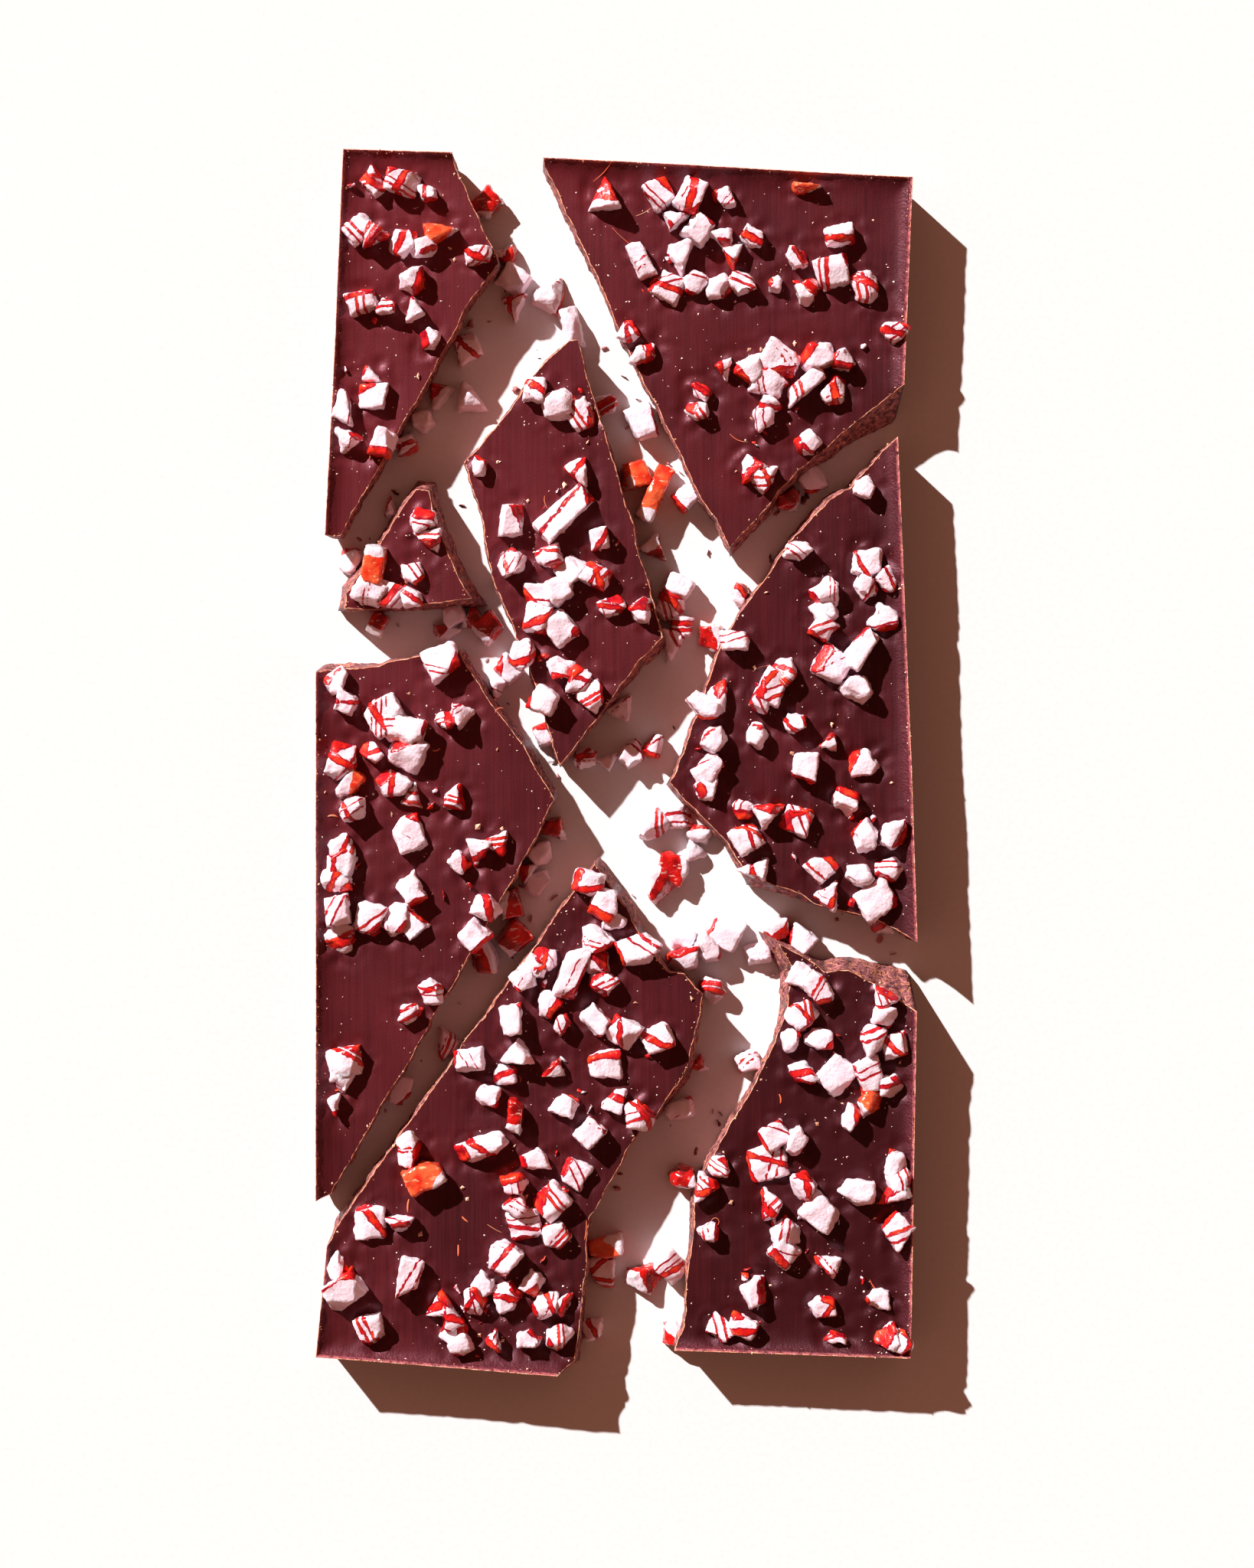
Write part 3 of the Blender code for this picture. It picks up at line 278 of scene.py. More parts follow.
SHARDS = {"shard_top_left": Shard(
    corners=[
        (-41.9, 94.1, MOULDED), (-25.2, 93.6, 0.2), (-24.2, 90.2, 0.2), (-18.1, 76.8, 0.3),
        (-23.4, 69.6, 0.1), (-26.3, 63.6, 0.1), (-32.3, 53.0, 0.1), (-42.4, 34.8, 0.1),
        (-44.7, 34.9, MOULDED), (-43.2, 64.0, MOULDED),
    ],
    rows=[
        (-37.0, 89.5, -28.8, 87.4, 3), (-39.5, 82.0, -29.8, 79.2, 4), (-31.0, 73.8, -28.8, 64.8),
        (-39.3, 70.8, -31.8, 69.6, 3), (-38.4, 59.4, -37.2, 56.0), (-40.9, 49.0, -35.9, 48.7),
    ],
    singles=[
        (-26.8, 81.5, 5.6, 4.4, 3.2, 12, "wedge", "amber_candy"),
        (-21.2, 78.0, 4.8, 2.9, 2.8, 14, "slab"), (-41.8, 55.8, 8.6, 3.8, 2.6, 84, "wedge"),
    ],
    caught=[
        (-20.5, 86.5), (-16.6, 79.6, -15.6, 70.4, 3), (-19.6, 62.6), (-26.4, 57.2, -21.6, 57.4),
        (-30.4, 48.0, -26.4, 50.8),
    ],
), "shard_top_right": Shard(
    corners=[
        (-11.2, 92.8, MOULDED), (45.5, 89.8, MOULDED), (44.2, 58.0, 3.6), (36.0, 51.6, 0.9),
        (28.0, 45.0, 1.0), (17.4, 32.9, 0.2), (15.4, 37.4, 0.4), (13.9, 39.2, 0.1), (1.9, 63.4, 0.1),
        (-2.5, 73.4, 0.3), (-10.9, 91.4, 0.4),
    ],
    rows=[
        (6.3, 87.2, 16.8, 86.6, 3), (9.0, 83.0, 20.8, 80.2, 4), (18.4, 77.2, 10.2, 77.3),
        (7.8, 72.8, 19.6, 73.2, 4), (27.4, 77.6, 38.2, 72.6, 3), (34.2, 81.4, 43.0, 66.2),
        (1.8, 66.0, 4.5, 63.0), (13.0, 57.4, 12.4, 53.7), (16.5, 60.4, 25.2, 61.8, 3),
        (23.4, 58.8, 22.6, 52.6, 3), (31.2, 62.0, 34.4, 61.6), (33.8, 57.2, 29.5, 49.2),
        (21.3, 46.2, 23.3, 43.0),
    ],
    singles=[
        (-1.8, 87.4, 5.6, 5.2, 3.6, 90, "wedge"), (3.9, 76.6, 7.4, 3.0, 2.4, -60, "slab"),
        (24.3, 73.4, 3.6, 2.5, 2.0, 70), (29.2, 72.5, 4.9, 4.0, 3.0, 80, "lump", "red_candy"),
        (29.4, 88.4, 5.4, 2.6, 2.6, 8, "wedge", "amber_candy"), (28.3, 57.4, 9.4, 2.5, 2.6, 40, "stick"),
    ],
    caught=[(4.2, 53.0), (10.2, 40.8), (30.6, 44.4, 27.0, 40.6)],
    hairs=[
        (-3.6, 89.3, 4.4, 34, 25, 0.1), (-0.6, 82.2, 3.7, -49, 15, 0.1),
        (17.5, 50.5, 3.2, -50, 60, 0.14), (3.0, 84.0, 2.6, 15, 30, 0.16),
    ],
), "shard_small_left": Shard(
    corners=[
        (-30.8, 42.0, 2.2), (-28.8, 41.8, 1.4), (-27.4, 36.0, 1.4), (-24.3, 28.6, 1.7),
        (-22.2, 25.2, 1.3), (-29.0, 24.4, 0.2), (-37.0, 23.5, 0.1), (-41.9, 23.6, 1.6),
        (-41.5, 26.0, 2.0), (-38.9, 29.8, 1.3), (-36.0, 34.2, 1.2),
    ],
    rows=[(-29.4, 37.3, -28.0, 34.6), (-31.4, 29.0, -31.3, 25.2), (-34.8, 25.6, -37.6, 26.0)],
    singles=[(-37.2, 30.2, 6.4, 3.6, 3.4, 84, "slab", "amber_candy")],
    caught=[
        (-35.2, 39.0), (-41.6, 31.6), (-37.0, 20.4), (-25.2, 22.5, -27.2, 19.5),
        (-22.4, 20.6, -19.8, 20.9),
    ],
), "shard_middle": Shard(
    corners=[
        (-7.2, 64.9, 0.2), (-5.9, 65.0, 0.2), (-3.8, 57.0, 0.2), (0.4, 43.6, 0.5), (4.6, 28.8, 0.4),
        (7.2, 19.2, 1.7), (3.4, 15.6, 0.6), (-1.9, 8.2, 0.2), (-8.7, -0.5, 0.1), (-11.4, 8.6, 0.3),
        (-16.0, 21.5, 0.3), (-18.7, 27.2, 0.2), (-21.3, 40.0, 0.3), (-23.4, 46.2, 0.5),
        (-18.8, 51.2, 0.5), (-12.0, 60.3, 0.2),
    ],
    rows=[
        (-12.6, 57.0, -5.6, 53.2, 3), (-20.6, 45.6), (-5.9, 44.6, -3.0, 34.0),
        (-16.2, 36.8, -16.5, 30.6), (-10.3, 31.0, -3.4, 28.3, 3), (-12.0, 25.2, -9.3, 26.4),
        (-0.5, 24.2, 4.0, 23.6), (-12.1, 22.2, -8.9, 21.0), (-14.0, 17.0, -11.2, 9.8),
        (-8.2, 14.6, -3.4, 11.1, 3),
    ],
    singles=[(-8.4, 38.0, 11.0, 4.0, 2.8, 42, "stick")],
    caught=[
        (-0.4, 56.0), (5.8, 33.7), (9.3, 24.6, 9.6, 27.5), (10.2, 21.3, 9.2, 18.8), (1.6, 8.4),
        (-5.0, 1.2, -0.6, 0.6), (2.9, 1.4, 5.4, 2.6), (-11.6, 4.3),
    ],
    stuck=[
        (-5.2, 66.4, 4.0, 2.8, 2.6, 10), (-7.0, 70.8, 7.0, 3.2, 3.2, 105, "slab"),
        (-10.6, 73.4, 6.0, 4.8, 3.4, 70), (3.2, 44.8, 5.4, 4.4, 3.6, 12, "slab", "amber_candy"),
        (6.0, 41.8, 9.4, 2.8, 3.0, 66, "stick", "amber_candy"),
    ],
    hairs=[(-11.0, 41.0, 2.4, -100, 60, 0.14)],
), "shard_left": Shard(
    corners=[
        (-46.1, 13.9, 1.4), (-38.5, 14.6, 0.5), (-32.0, 16.0, 0.1), (-24.2, 17.3, 0.9),
        (-20.0, 10.2, 1.1), (-14.2, 2.6, 1.0), (-9.5, -5.7, 0.2), (-11.7, -10.4, 0.1),
        (-24.0, -32.2, 0.1), (-42.0, -63.0, 0.1), (-43.8, -66.3, 0.2), (-46.1, -67.3, MOULDED),
    ],
    rows=[
        (-43.5, 12.8, -41.3, 9.2), (-26.4, 15.4), (-35.4, 6.6, -31.8, 5.2, 3),
        (-23.4, 8.0, -26.2, 6.4), (-37.8, 1.8, -31.9, 1.2), (-40.4, -6.8, -30.4, -5.2),
        (-24.6, -6.0, -32.0, -10.6), (-24.3, -15.0, -18.6, -13.0, 3), (-41.6, -13.0, -43.4, -17.8, 3),
        (-42.8, -23.0, -42.6, -27.2), (-37.4, -23.6, -31.0, -24.4, 3), (-31.3, -19.8),
        (-20.5, -22.3, -22.0, -26.3), (-31.4, -38.8, -28.4, -35.6),
        (-41.5, -45.8, -43.0, -52.2, 3),
    ],
    singles=[
        (-42.4, 0.4, 6.6, 5.2, 3.2, 50), (-41.0, -3.6, 5.4, 2.9, 2.4, 52, "slab", "amber_candy"),
        (-34.6, -3.3, 6.4, 4.6, 2.8, -15),
    ],
    caught=[
        (-17.6, 11.8, -16.6, 15.0), (-8.6, -10.8), (-11.2, -14.4, -14.2, -17.5), (-12.0, -18.6),
        (-16.6, -22.0, -16.5, -26.6), (-20.2, -30.0), (-33.8, -50.8), (-27.6, 18.8),
    ],
    hairs=[
        (-28.3, 1.9, 1.4, -20, 80, 0.22), (-42.8, -8.4, 1.6, 150, 60, 0.34),
        (-18.6, 7.6, 1.8, 80, -120, 0.14),
    ],
), "shard_right": Shard(
    corners=[
        (43.2, 50.0, MOULDED), (45.3, 0.0, MOULDED), (46.2, -27.6, 0.1), (39.8, -24.0, 0.2),
        (30.6, -21.8, 1.2), (28.4, -20.2, 1.2), (23.8, -18.7, 1.7), (20.0, -17.4, 0.7),
        (17.0, -12.2, 0.7), (9.6, -4.8, 0.7), (8.2, -3.0, 0.3), (10.3, 1.4, 0.3), (15.9, 17.5, 0.1),
        (18.2, 21.7, 0.1), (27.4, 34.9, 1.2), (32.8, 40.4, 1.2), (36.0, 42.2, 0.4), (39.0, 45.6, 0.2),
    ],
    rows=[
        (38.2, 42.4, 27.6, 32.6), (38.9, 30.6, 42.0, 28.0), (38.2, 27.0, 41.0, 22.4),
        (32.2, 26.2, 32.0, 21.0, 3), (33.4, 15.2), (26.2, 14.4, 22.4, 8.8, 3), (27.0, 5.8, 21.9, 3.8),
        (18.4, 18.8, 16.0, 11.0), (13.8, -0.4, 13.8, -4.0), (19.4, -7.8, 27.4, -9.0, 3),
        (38.0, 0.4, 35.2, -6.4), (38.2, -11.4, 42.4, -10.8), (20.0, -11.8, 21.2, -16.4),
        (31.6, -16.0, 33.2, -19.8), (37.4, -17.2, 42.0, -16.2), (39.6, -21.4),
    ],
    singles=[
        (37.4, 17.2, 7.0, 3.4, 3.4, 52, "slab"), (36.6, 11.0, 5.6, 4.6, 3.6, 10),
        (32.8, 3.6, 3.8, 3.0, 2.0, 80, "wedge", "red_candy"), (13.6, 8.4, 6.6, 4.0, 3.2, -25),
        (15.0, 3.6, 4.9, 4.4, 3.6, 75), (28.9, -1.0, 5.2, 3.8, 3.8, 84, "stick"),
    ],
    caught=[
        (17.5, 27.0, 12.6, 29.4), (15.6, 22.3, 14.2, 20.0), (9.5, -8.4, 5.8, -9.8),
        (10.6, -13.2, 12.4, -16.4), (8.6, -16.6, 6.6, -18.8), (41.2, -25.4),
    ],
    hairs=[(21.0, 14.0, 3.0, 40, -50, 0.12)],
), "shard_bottom_left": Shard(
    corners=[
        (-3.3, -15.6, 1.4), (-0.3, -19.8, 1.4), (3.4, -26.0, 0.8), (8.0, -32.2, 0.1), (10.4, -32.4, 0.1),
        (13.3, -35.6, 0.2), (13.0, -38.5, 0.7), (10.6, -47.4, 2.0), (6.3, -54.0, 0.4), (2.1, -58.8, 0.2),
        (-2.6, -67.6, 0.2), (-4.2, -70.0, 0.2), (-5.2, -83.0, 1.0), (-6.4, -92.0, 1.3),
        (-9.0, -94.1, MOULDED), (-46.1, -91.2, MOULDED), (-44.4, -74.2, 0.9), (-42.2, -70.2, 0.9),
        (-38.6, -65.0, 0.2), (-24.4, -44.6, 0.1), (-7.0, -20.4, 0.3),
    ],
    rows=[
        (-4.3, -18.9, 0.6, -24.2, 3), (-3.4, -27.0), (-14.6, -33.0, -11.1, -30.6, 3),
        (-3.0, -31.0, -2.2, -34.0), (-10.6, -37.2, -8.0, -40.0), (-15.8, -39.2),
        (-2.9, -39.8, 6.0, -42.4, 3), (-15.4, -44.6, -19.4, -51.0, 3), (-22.7, -46.0),
        (-1.2, -46.3, -0.6, -52.0), (-7.7, -53.0, -4.0, -57.0), (3.4, -54.0), (-31.3, -59.2),
        (-6.7, -63.2, -9.7, -67.2), (-15.8, -64.8, -14.4, -71.0, 3), (-9.5, -73.0),
        (-37.4, -71.0, -34.0, -70.4), (-43.0, -77.0), (-37.4, -87.0), (-20.2, -80.0, -22.0, -83.4),
        (-16.8, -82.0, -12.6, -79.8), (-11.2, -83.0, -8.0, -83.0), (-27.0, -83.2, -24.0, -90.0, 4),
        (-18.2, -89.6, -8.6, -88.2, 3),
    ],
    singles=[
        (3.0, -28.8, 8.2, 5.0, 3.6, 4), (-6.9, -32.4, 9.2, 3.8, 3.4, 68, "slab"),
        (-10.0, -46.9, 4.2, 3.2, 2.0, 8, "wedge", "red_candy"),
        (-15.6, -54.6, 6.0, 2.5, 2.8, 86, "slab", "red_candy"),
        (-29.6, -63.4, 6.4, 4.8, 3.8, 22, "slab", "amber_candy"), (-20.6, -59.4, 8.8, 4.6, 3.0, 14),
        (-12.6, -60.8, 7.0, 3.6, 2.6, -8), (-32.0, -79.2, 6.6, 3.6, 3.0, 72, "stick"),
        (-42.0, -81.2, 7.0, 5.2, 4.0, 40, "slab"), (-17.0, -76.0, 6.6, 5.6, 3.8, 30),
    ],
    caught=[
        (10.5, -30.4, 10.6, -27.6), (15.2, -28.4, 17.0, -26.4), (16.2, -34.6), (14.6, -48.0),
        (10.4, -54.4), (-2.5, -79.0), (-1.4, -88.0), (-26.6, -44.4),
    ],
    stuck=[
        (0.8, -75.2, 6.0, 3.6, 3.2, 12, "slab", "amber_candy"),
        (18.4, -25.0, 3.4, 2.8, 2.6, 40, "slab", "red_candy"),
    ],
    hairs=[
        (-32.0, -69.2, 2.1, 95, -20, 0.34), (-24.3, -75.9, 1.8, 85, 10, 0.3),
        (-23.7, -69.8, 1.3, -50, 20, 0.3), (-19.8, -71.0, 2.6, -35, 10, 0.14),
        (-4.9, -73.4, 3.0, 75, 20, 0.16), (-14.9, -49.2, 1.5, 40, 160, 0.16),
    ],
), "shard_bottom_right": Shard(
    corners=[
        (25.0, -27.9, 0.3), (30.6, -30.9, 1.6), (32.0, -32.2, 2.0), (35.6, -31.9, 2.2),
        (39.6, -34.0, 4.8), (46.1, -38.2, MOULDED), (45.2, -91.4, MOULDED), (8.9, -90.2, 0.2),
        (10.7, -85.0, 0.1), (10.7, -81.0, 0.1), (11.7, -73.6, 1.0), (12.3, -66.4, 0.3),
        (13.0, -63.6, 0.3), (18.4, -54.2, 0.4), (21.3, -49.4, 0.1), (24.4, -43.0, 0.2),
        (26.3, -37.6, 1.9), (27.1, -31.6, 2.2),
    ],
    rows=[
        (28.6, -33.2, 31.6, -34.6), (28.2, -39.0, 26.6, -43.0), (30.9, -42.4, 28.5, -48.2),
        (41.4, -36.4, 40.8, -38.6), (39.6, -43.0, 43.2, -43.2), (38.4, -47.6, 42.4, -49.4),
        (35.8, -54.0), (24.8, -57.6, 27.6, -58.2), (16.0, -62.6, 14.2, -65.6),
        (28.8, -65.6, 23.0, -68.0), (42.8, -61.6, 43.8, -66.5, 3), (31.7, -69.0), (14.4, -71.8),
        (26.2, -72.4, 25.8, -75.4), (32.3, -77.4, 32.0, -84.0), (42.8, -72.2),
        (40.9, -83.0, 41.2, -88.4), (16.2, -86.8, 19.4, -86.4), (33.4, -88.8), (43.6, -89.2),
    ],
    singles=[
        (33.7, -48.2, 6.4, 5.8, 1.3, 60, "slab"),
        (38.9, -52.4, 5.4, 3.6, 3.2, 76, "lump", "amber_candy"),
        (23.2, -61.6, 6.6, 6.0, 1.2, 20, "slab"), (36.8, -66.0, 5.9, 4.6, 3.7, 5),
        (21.2, -81.2, 5.6, 5.0, 3.6, 60),
    ],
    caught=[
        (21.8, -27.0, 20.6, -30.8), (25.3, -25.2), (29.0, -26.5), (19.4, -45.8), (10.4, -64.2),
        (7.8, -78.2, 3.4, -80.4), (7.4, -87.7),
    ],
    hairs=[
        (25.2, -52.4, 1.5, 70, 60, 0.26), (15.4, -71.2, 2.6, 30, 250, 0.12),
        (39.0, -79.5, 2.2, -70, 30, 0.14),
    ],
)}


def edges(outline):
    """The edges of an outline, each as its two ends."""
    return zip(outline, outline[1:] + outline[:1])


def outward(a, b):
    """Unit normal of the edge from a to b, out of an outline that runs clockwise."""
    along = Vector((b[0] - a[0], b[1] - a[1])).normalized()
    return Vector((-along.y, along.x))


def corner_shift(before, after, reach_before, reach_after):
    """How a corner moves when the edges before and after it move out by their reaches."""
    cross = before.x * after.y - before.y * after.x
    if abs(cross) < STRAIGHT:
        return (before + after).normalized() * (reach_before + reach_after) / 2
    shift = Vector((
        (reach_before * after.y - reach_after * before.y) / cross,
        (before.x * reach_after - after.x * reach_before) / cross,
    ))
    longest = MITRE * max(abs(reach_before), abs(reach_after))
    return shift * min(1.0, longest / max(shift.length, 1e-6))


def corner_shifts(corners, reach_of):
    """The shift of every corner, where reach_of gives an edge's reach from what starts at its corner."""
    shifts = []
    for i, corner in enumerate(corners):
        last, following = corners[i - 1], corners[(i + 1) % len(corners)]
        shifts.append(corner_shift(
            outward(last, corner), outward(corner, following), reach_of(last[2]), reach_of(corner[2])
        ))
    return shifts


def hills(place, long, share, finer):
    """Unevenness at a place, with hills of a given length and a share of finer ones on them."""
    at = Vector(place) / long
    return noise.noise(at) + share * noise.noise(at * finer)


def jag(place):
    """How far a broken edge strays from straight at a place."""
    return JAG * hills((*place, 0.0), JAG_LONG, 0.5, 2.7)


def crumble(place, z=0.0):
    """The finest unevenness of a broken edge or face at a place."""
    return CRUMBLE * hills((*place, z), CRUMBLE_LONG, 0.6, 2.3)


def edge_points(shard, fine):
    """The top edge of a shard, clockwise: in fine detail, or else just as the solid has it."""
    corners = shard.corners
    feet = corner_shifts(corners, lambda kind: -DRAFT if kind == MOULDED else kind)
    inwards = corner_shifts(corners, lambda kind: -1.0)
    points = []
    for i, corner in enumerate(corners):
        j = (i + 1) % len(corners)
        here, there = Vector(corner[:2]), Vector(corners[j][:2])
        normal = outward(here, there)
        length = (there - here).length
        after_rim, moulded, before_rim = (corners[k][2] == MOULDED for k in (i - 1, i, j))
        parts = max(1, round(length / (FINE_STEP if fine else STEP))) if fine or not moulded else 1
        shares = [k / parts for k in range(parts)]
        if not fine and not moulded:
            shares += [RIM_WIDE / length] * after_rim + [1 - RIM_WIDE / length] * before_rim
        for share in sorted(shares):
            place = here.lerp(there, share)
            at_corner = share == 0
            calm = min(1.0, min(share, 1 - share) * length / EDGE_CALM) if fine else 1.0
            if not moulded and not at_corner:
                place = place + normal * (jag(place) + fine * crumble(place)) * calm
            out = (normal + outward(corners[i - 1], corner)).normalized() if at_corner else normal
            rim = moulded or (at_corner and after_rim)
            points.append(EdgePoint(
                place, out, feet[i].lerp(feet[j], share), inwards[i].lerp(inwards[j], share),
                0.0 if rim else min(1.0, BROKEN_LEAST + calm),
            ))
    return points


def side_place(point, share, fine):
    """Where a side is at a share of its height: in fine detail, or else just as the solid has it."""
    z = share * THICK
    place = point.place + point.foot * (1 - share)
    belly = 4 * share * (1 - share)
    crag = CRAG * noise.noise(Vector((*place, CRAG_FLAT * z)) / CRAG_LONG)
    bulge = point.broken * belly * crag
    if fine:
        bulge += point.broken * min(1.0, 2 * belly) * FACE_GRAIN * crumble(place, z)
    place = place + point.normal * bulge + point.inward * BASE_ROUND * max(0.0, 1 - share / FOOT_SHARE)
    return Vector((*place, z))


def distance_to_segments(xs, ys, segments):
    """For arrays of places, the distance to the nearest of some segments."""
    nearest = np.full(xs.shape, 1e3)
    for (ax, ay), (bx, by) in segments:
        dx, dy = bx - ax, by - ay
        share = np.clip(((xs - ax) * dx + (ys - ay) * dy) / (dx * dx + dy * dy), 0, 1)
        nearest = np.minimum(nearest, np.hypot(xs - ax - share * dx, ys - ay - share * dy))
    return nearest


def smooth_noise(xs, ys, long, seed):
    """Soft unevenness between -1 and 1 for arrays of places, with hills of a given length."""
    return np.array([noise.noise(Vector((x / long, y / long, seed))) for x, y in zip(xs, ys)])


def from_rim(xs, ys, shard):
    """For arrays of places, how far they are inside the crest of the rim."""
    moulded = [(a[:2], b[:2]) for a, b in edges(shard.corners) if a[2] == MOULDED]
    return np.maximum(distance_to_segments(xs, ys, moulded) - CREST_IN, 0)


def top_heights(places, shard, pieces):
    """The height of the top face at some places: rim, waves, and the dips round the candy."""
    xs, ys = np.array(places).T
    heights = np.full(xs.shape, THICK) + WAVE * smooth_noise(xs, ys, WAVE_LONG, 3.0)
    crest = 1 + CREST_ROUGH * smooth_noise(xs, ys, CREST_LONG, 9.0)
    away = from_rim(xs, ys, shard)
    heights += LIP_HIGH * crest * np.exp(-away / LIP_WIDE)
    swelling = 1 + SWELL_VARIES * smooth_noise(xs, ys, SWELL_LONG, 21.0)
    heights += SWELL_HIGH * swelling * np.exp(-(away / SWELL_WIDE) ** 1.5)
    nearest = np.full(xs.shape, 99.0)
    for piece in pieces:
        turn = math.radians(piece.turn)
        dx, dy = xs - piece.x, ys - piece.y
        along = (dx * math.cos(turn) + dy * math.sin(turn)) / (0.5 * piece.length)
        across = (dy * math.cos(turn) - dx * math.sin(turn)) / (0.5 * piece.width)
        away = np.maximum(np.hypot(along, across) - DIP_FROM, 0) * 0.25 * (piece.length + piece.width)
        nearest = np.minimum(nearest, away)
        depth = DIP * (0.5 + random.Random(piece.seed + " dip").random())
        heights -= depth * np.exp(-(away / DIP_WIDE) ** 2)
        heights += CLING * np.exp(-away / CLING_WIDE)
    ruffled = np.exp(-(nearest / RUFFLE_WIDE) ** 2)
    return heights + RUFFLE * ruffled * smooth_noise(xs, ys, RUFFLE_LONG, 5.0)


def inside(outline, x, y):
    """Whether a place lies inside an outline, or which of arrays of places do."""
    odd = False
    for a, b in edges(outline):
        if a.y != b.y:
            odd ^= ((a.y > y) != (b.y > y)) & (x < a.x + (y - a.y) * (b.x - a.x) / (b.y - a.y))
    return odd


def new_mesh(name, places, faces, values=(), smooth=True):
    """A mesh from places in millimetres, with named values stored on its points."""
    mesh = bpy.data.meshes.new(name)
    mesh.from_pydata([place * MM for place in places], [], faces)
    for label, numbers in dict(values).items():
        mesh.attributes.new(label, "FLOAT", "POINT").data.foreach_set("value", numbers)
    if smooth:
        mesh.shade_smooth()
    return mesh


def band(low, high, count):
    """The faces between two closed rings of points, whose first ones are low and high."""
    return [(low + (i + 1) % count, low + i, high + i, high + (i + 1) % count) for i in range(count)]


def chocolate_mesh(name, shard, pieces):
    """One shard's chocolate in fine detail, with how broken and crested each point is, and how far it
    lies in the rim's band of painted sheen and dust.
    """
    points = edge_points(shard, True)
    count = len(points)
    verts, broken, crest = [], [], []
    for share in FINE_LEVELS:
        verts += [side_place(point, share, True) for point in points]
        broken += [point.broken * (share < 1.0) for point in points]
        crest += [max(0.0, 1 - (1 - share) * THICK / CREST_DROP)] * count
    top_start = len(verts) - count
    for inset, worn in RINGS:
        verts += [Vector((*(point.place + point.inward * inset), THICK)) for point in points]
        broken += [0.0] * count
        crest += [worn] * count
    last = len(verts) - count
    faces = [face for low in range(0, last, count) for face in band(low, low + count, count)]
    border = [vert.xy for vert in verts[last:]]
    grid = grid_inside(border, random.Random(name + " grid"))
    filled = geometry.delaunay_2d_cdt(border + grid, [], [list(range(count))], 1, 1e-5)
    lookup = {}
    for new, origins in enumerate(filled[3]):
        on_border = [old for old in origins if old < count]
        lookup[new] = last + on_border[0] if on_border else len(verts)
        if not on_border:
            verts.append(Vector((*filled[0][new], THICK)))
    for face in filled[2]:
        corners = [lookup[i] for i in face]
        if len(set(corners)) == 3:
            faces.append(corners)
    faces.append(list(range(count)))
    flat = np.array([vert.xy for vert in verts[top_start:]])
    heights = top_heights(flat, shard, pieces)
    for vert, height in zip(verts[top_start:], heights):
        vert.z = height
    for k, vert in enumerate(verts[:top_start]):
        vert.z *= heights[k % count] / THICK
    rest = [0.0] * (len(verts) - len(broken))
    rim = [0.0] * top_start + list(np.exp(-(from_rim(*flat.T, shard) / RIM_BAND_WIDE) ** 1.5))
    mesh = new_mesh(name, verts, faces, {"broken": broken + rest, "crest": crest + rest, "rim": rim})
    bm = bmesh.new()
    bm.from_mesh(mesh)
    bmesh.ops.triangulate(bm, faces=[face for face in bm.faces if len(face.verts) > 4])
    bmesh.ops.recalc_face_normals(bm, faces=bm.faces)
    bm.to_mesh(mesh)
    bm.free()
    return mesh


def grid_inside(border, rng):
    """Places spread over the inside of an outline, none of them close to it."""
    spans = [np.arange(min(row), max(row), GRID) for row in zip(*border)]
    xs, ys = (
        row.ravel() + np.array([rng.uniform(-GRID_STRAY, GRID_STRAY) * GRID for _ in row.ravel()])
        for row in np.meshgrid(*spans)
    )
    keep = inside(border, xs, ys) & (distance_to_segments(xs, ys, edges(border)) > GRID_CLEAR)
    return [Vector(place) for place in zip(xs[keep], ys[keep])]


def piece_corners(piece):
    """The points whose hull is a piece of candy, in millimetres about its middle, with its base at 0."""
    rng = random.Random(piece.seed)
    cut = CUTS[piece.cut]
    start = 0.5 + cut.spin * rng.random()
    plan = []
    for k in range(cut.corners):
        angle = 2 * math.pi * (k + start + rng.uniform(-cut.stray, cut.stray)) / cut.corners
        reach = 1 - rng.uniform(0, cut.dent)
        plan.append((reach * math.cos(angle), reach * math.sin(angle)))
    corners = [(x, y, 0.0) for x, y in plan]
    for x, y in plan:
        kept = 1 - rng.uniform(0, cut.draw_in)
        corners.append((kept * x, kept * y, 1 - rng.uniform(0, cut.tilt)))
    if piece.length > RIDGED:
        corners.append([rng.uniform(*span) for span in PEAK])
    xs, ys, zs = zip(*corners)
    turn = Matrix.Rotation(math.radians(piece.turn), 3, "Z")
    return [
        turn @ Vector((
            piece.length * ((x - min(xs)) / (max(xs) - min(xs)) - 0.5),
            piece.width * ((y - min(ys)) / (max(ys) - min(ys)) - 0.5),
            piece.height * z / max(zs),
        ))
        for x, y, z in corners
    ]


def drawn_piece(rng, x, y, z, seed):
    """A piece of ordinary candy, its size and turn drawn at random."""
    length = rng.triangular(*SIZES)
    cut = rng.choice(("lump", "lump", "lump", "slab", "slab", "wedge"))
    return Piece(
        x, y, z, length, length * rng.uniform(*SLIMNESS), rng.triangular(*HEIGHTS),
        rng.uniform(0, 180), cut, "white_candy", seed,
    )


def own_piece(row, z, seed):
    """A piece of candy that has a row of its own in the table."""
    single = Single(*row)
    return Piece(single.x, single.y, z, *single[2:], seed)


def along_row(row):
    """The places of the pieces in a row."""
    if len(row) == 2:
        yield row
        return
    x0, y0, x1, y1, count = (*row, 2)[:5]
    for k in range(count):
        share = k / (count - 1)
        yield x0 + share * (x1 - x0), y0 + share * (y1 - y0)


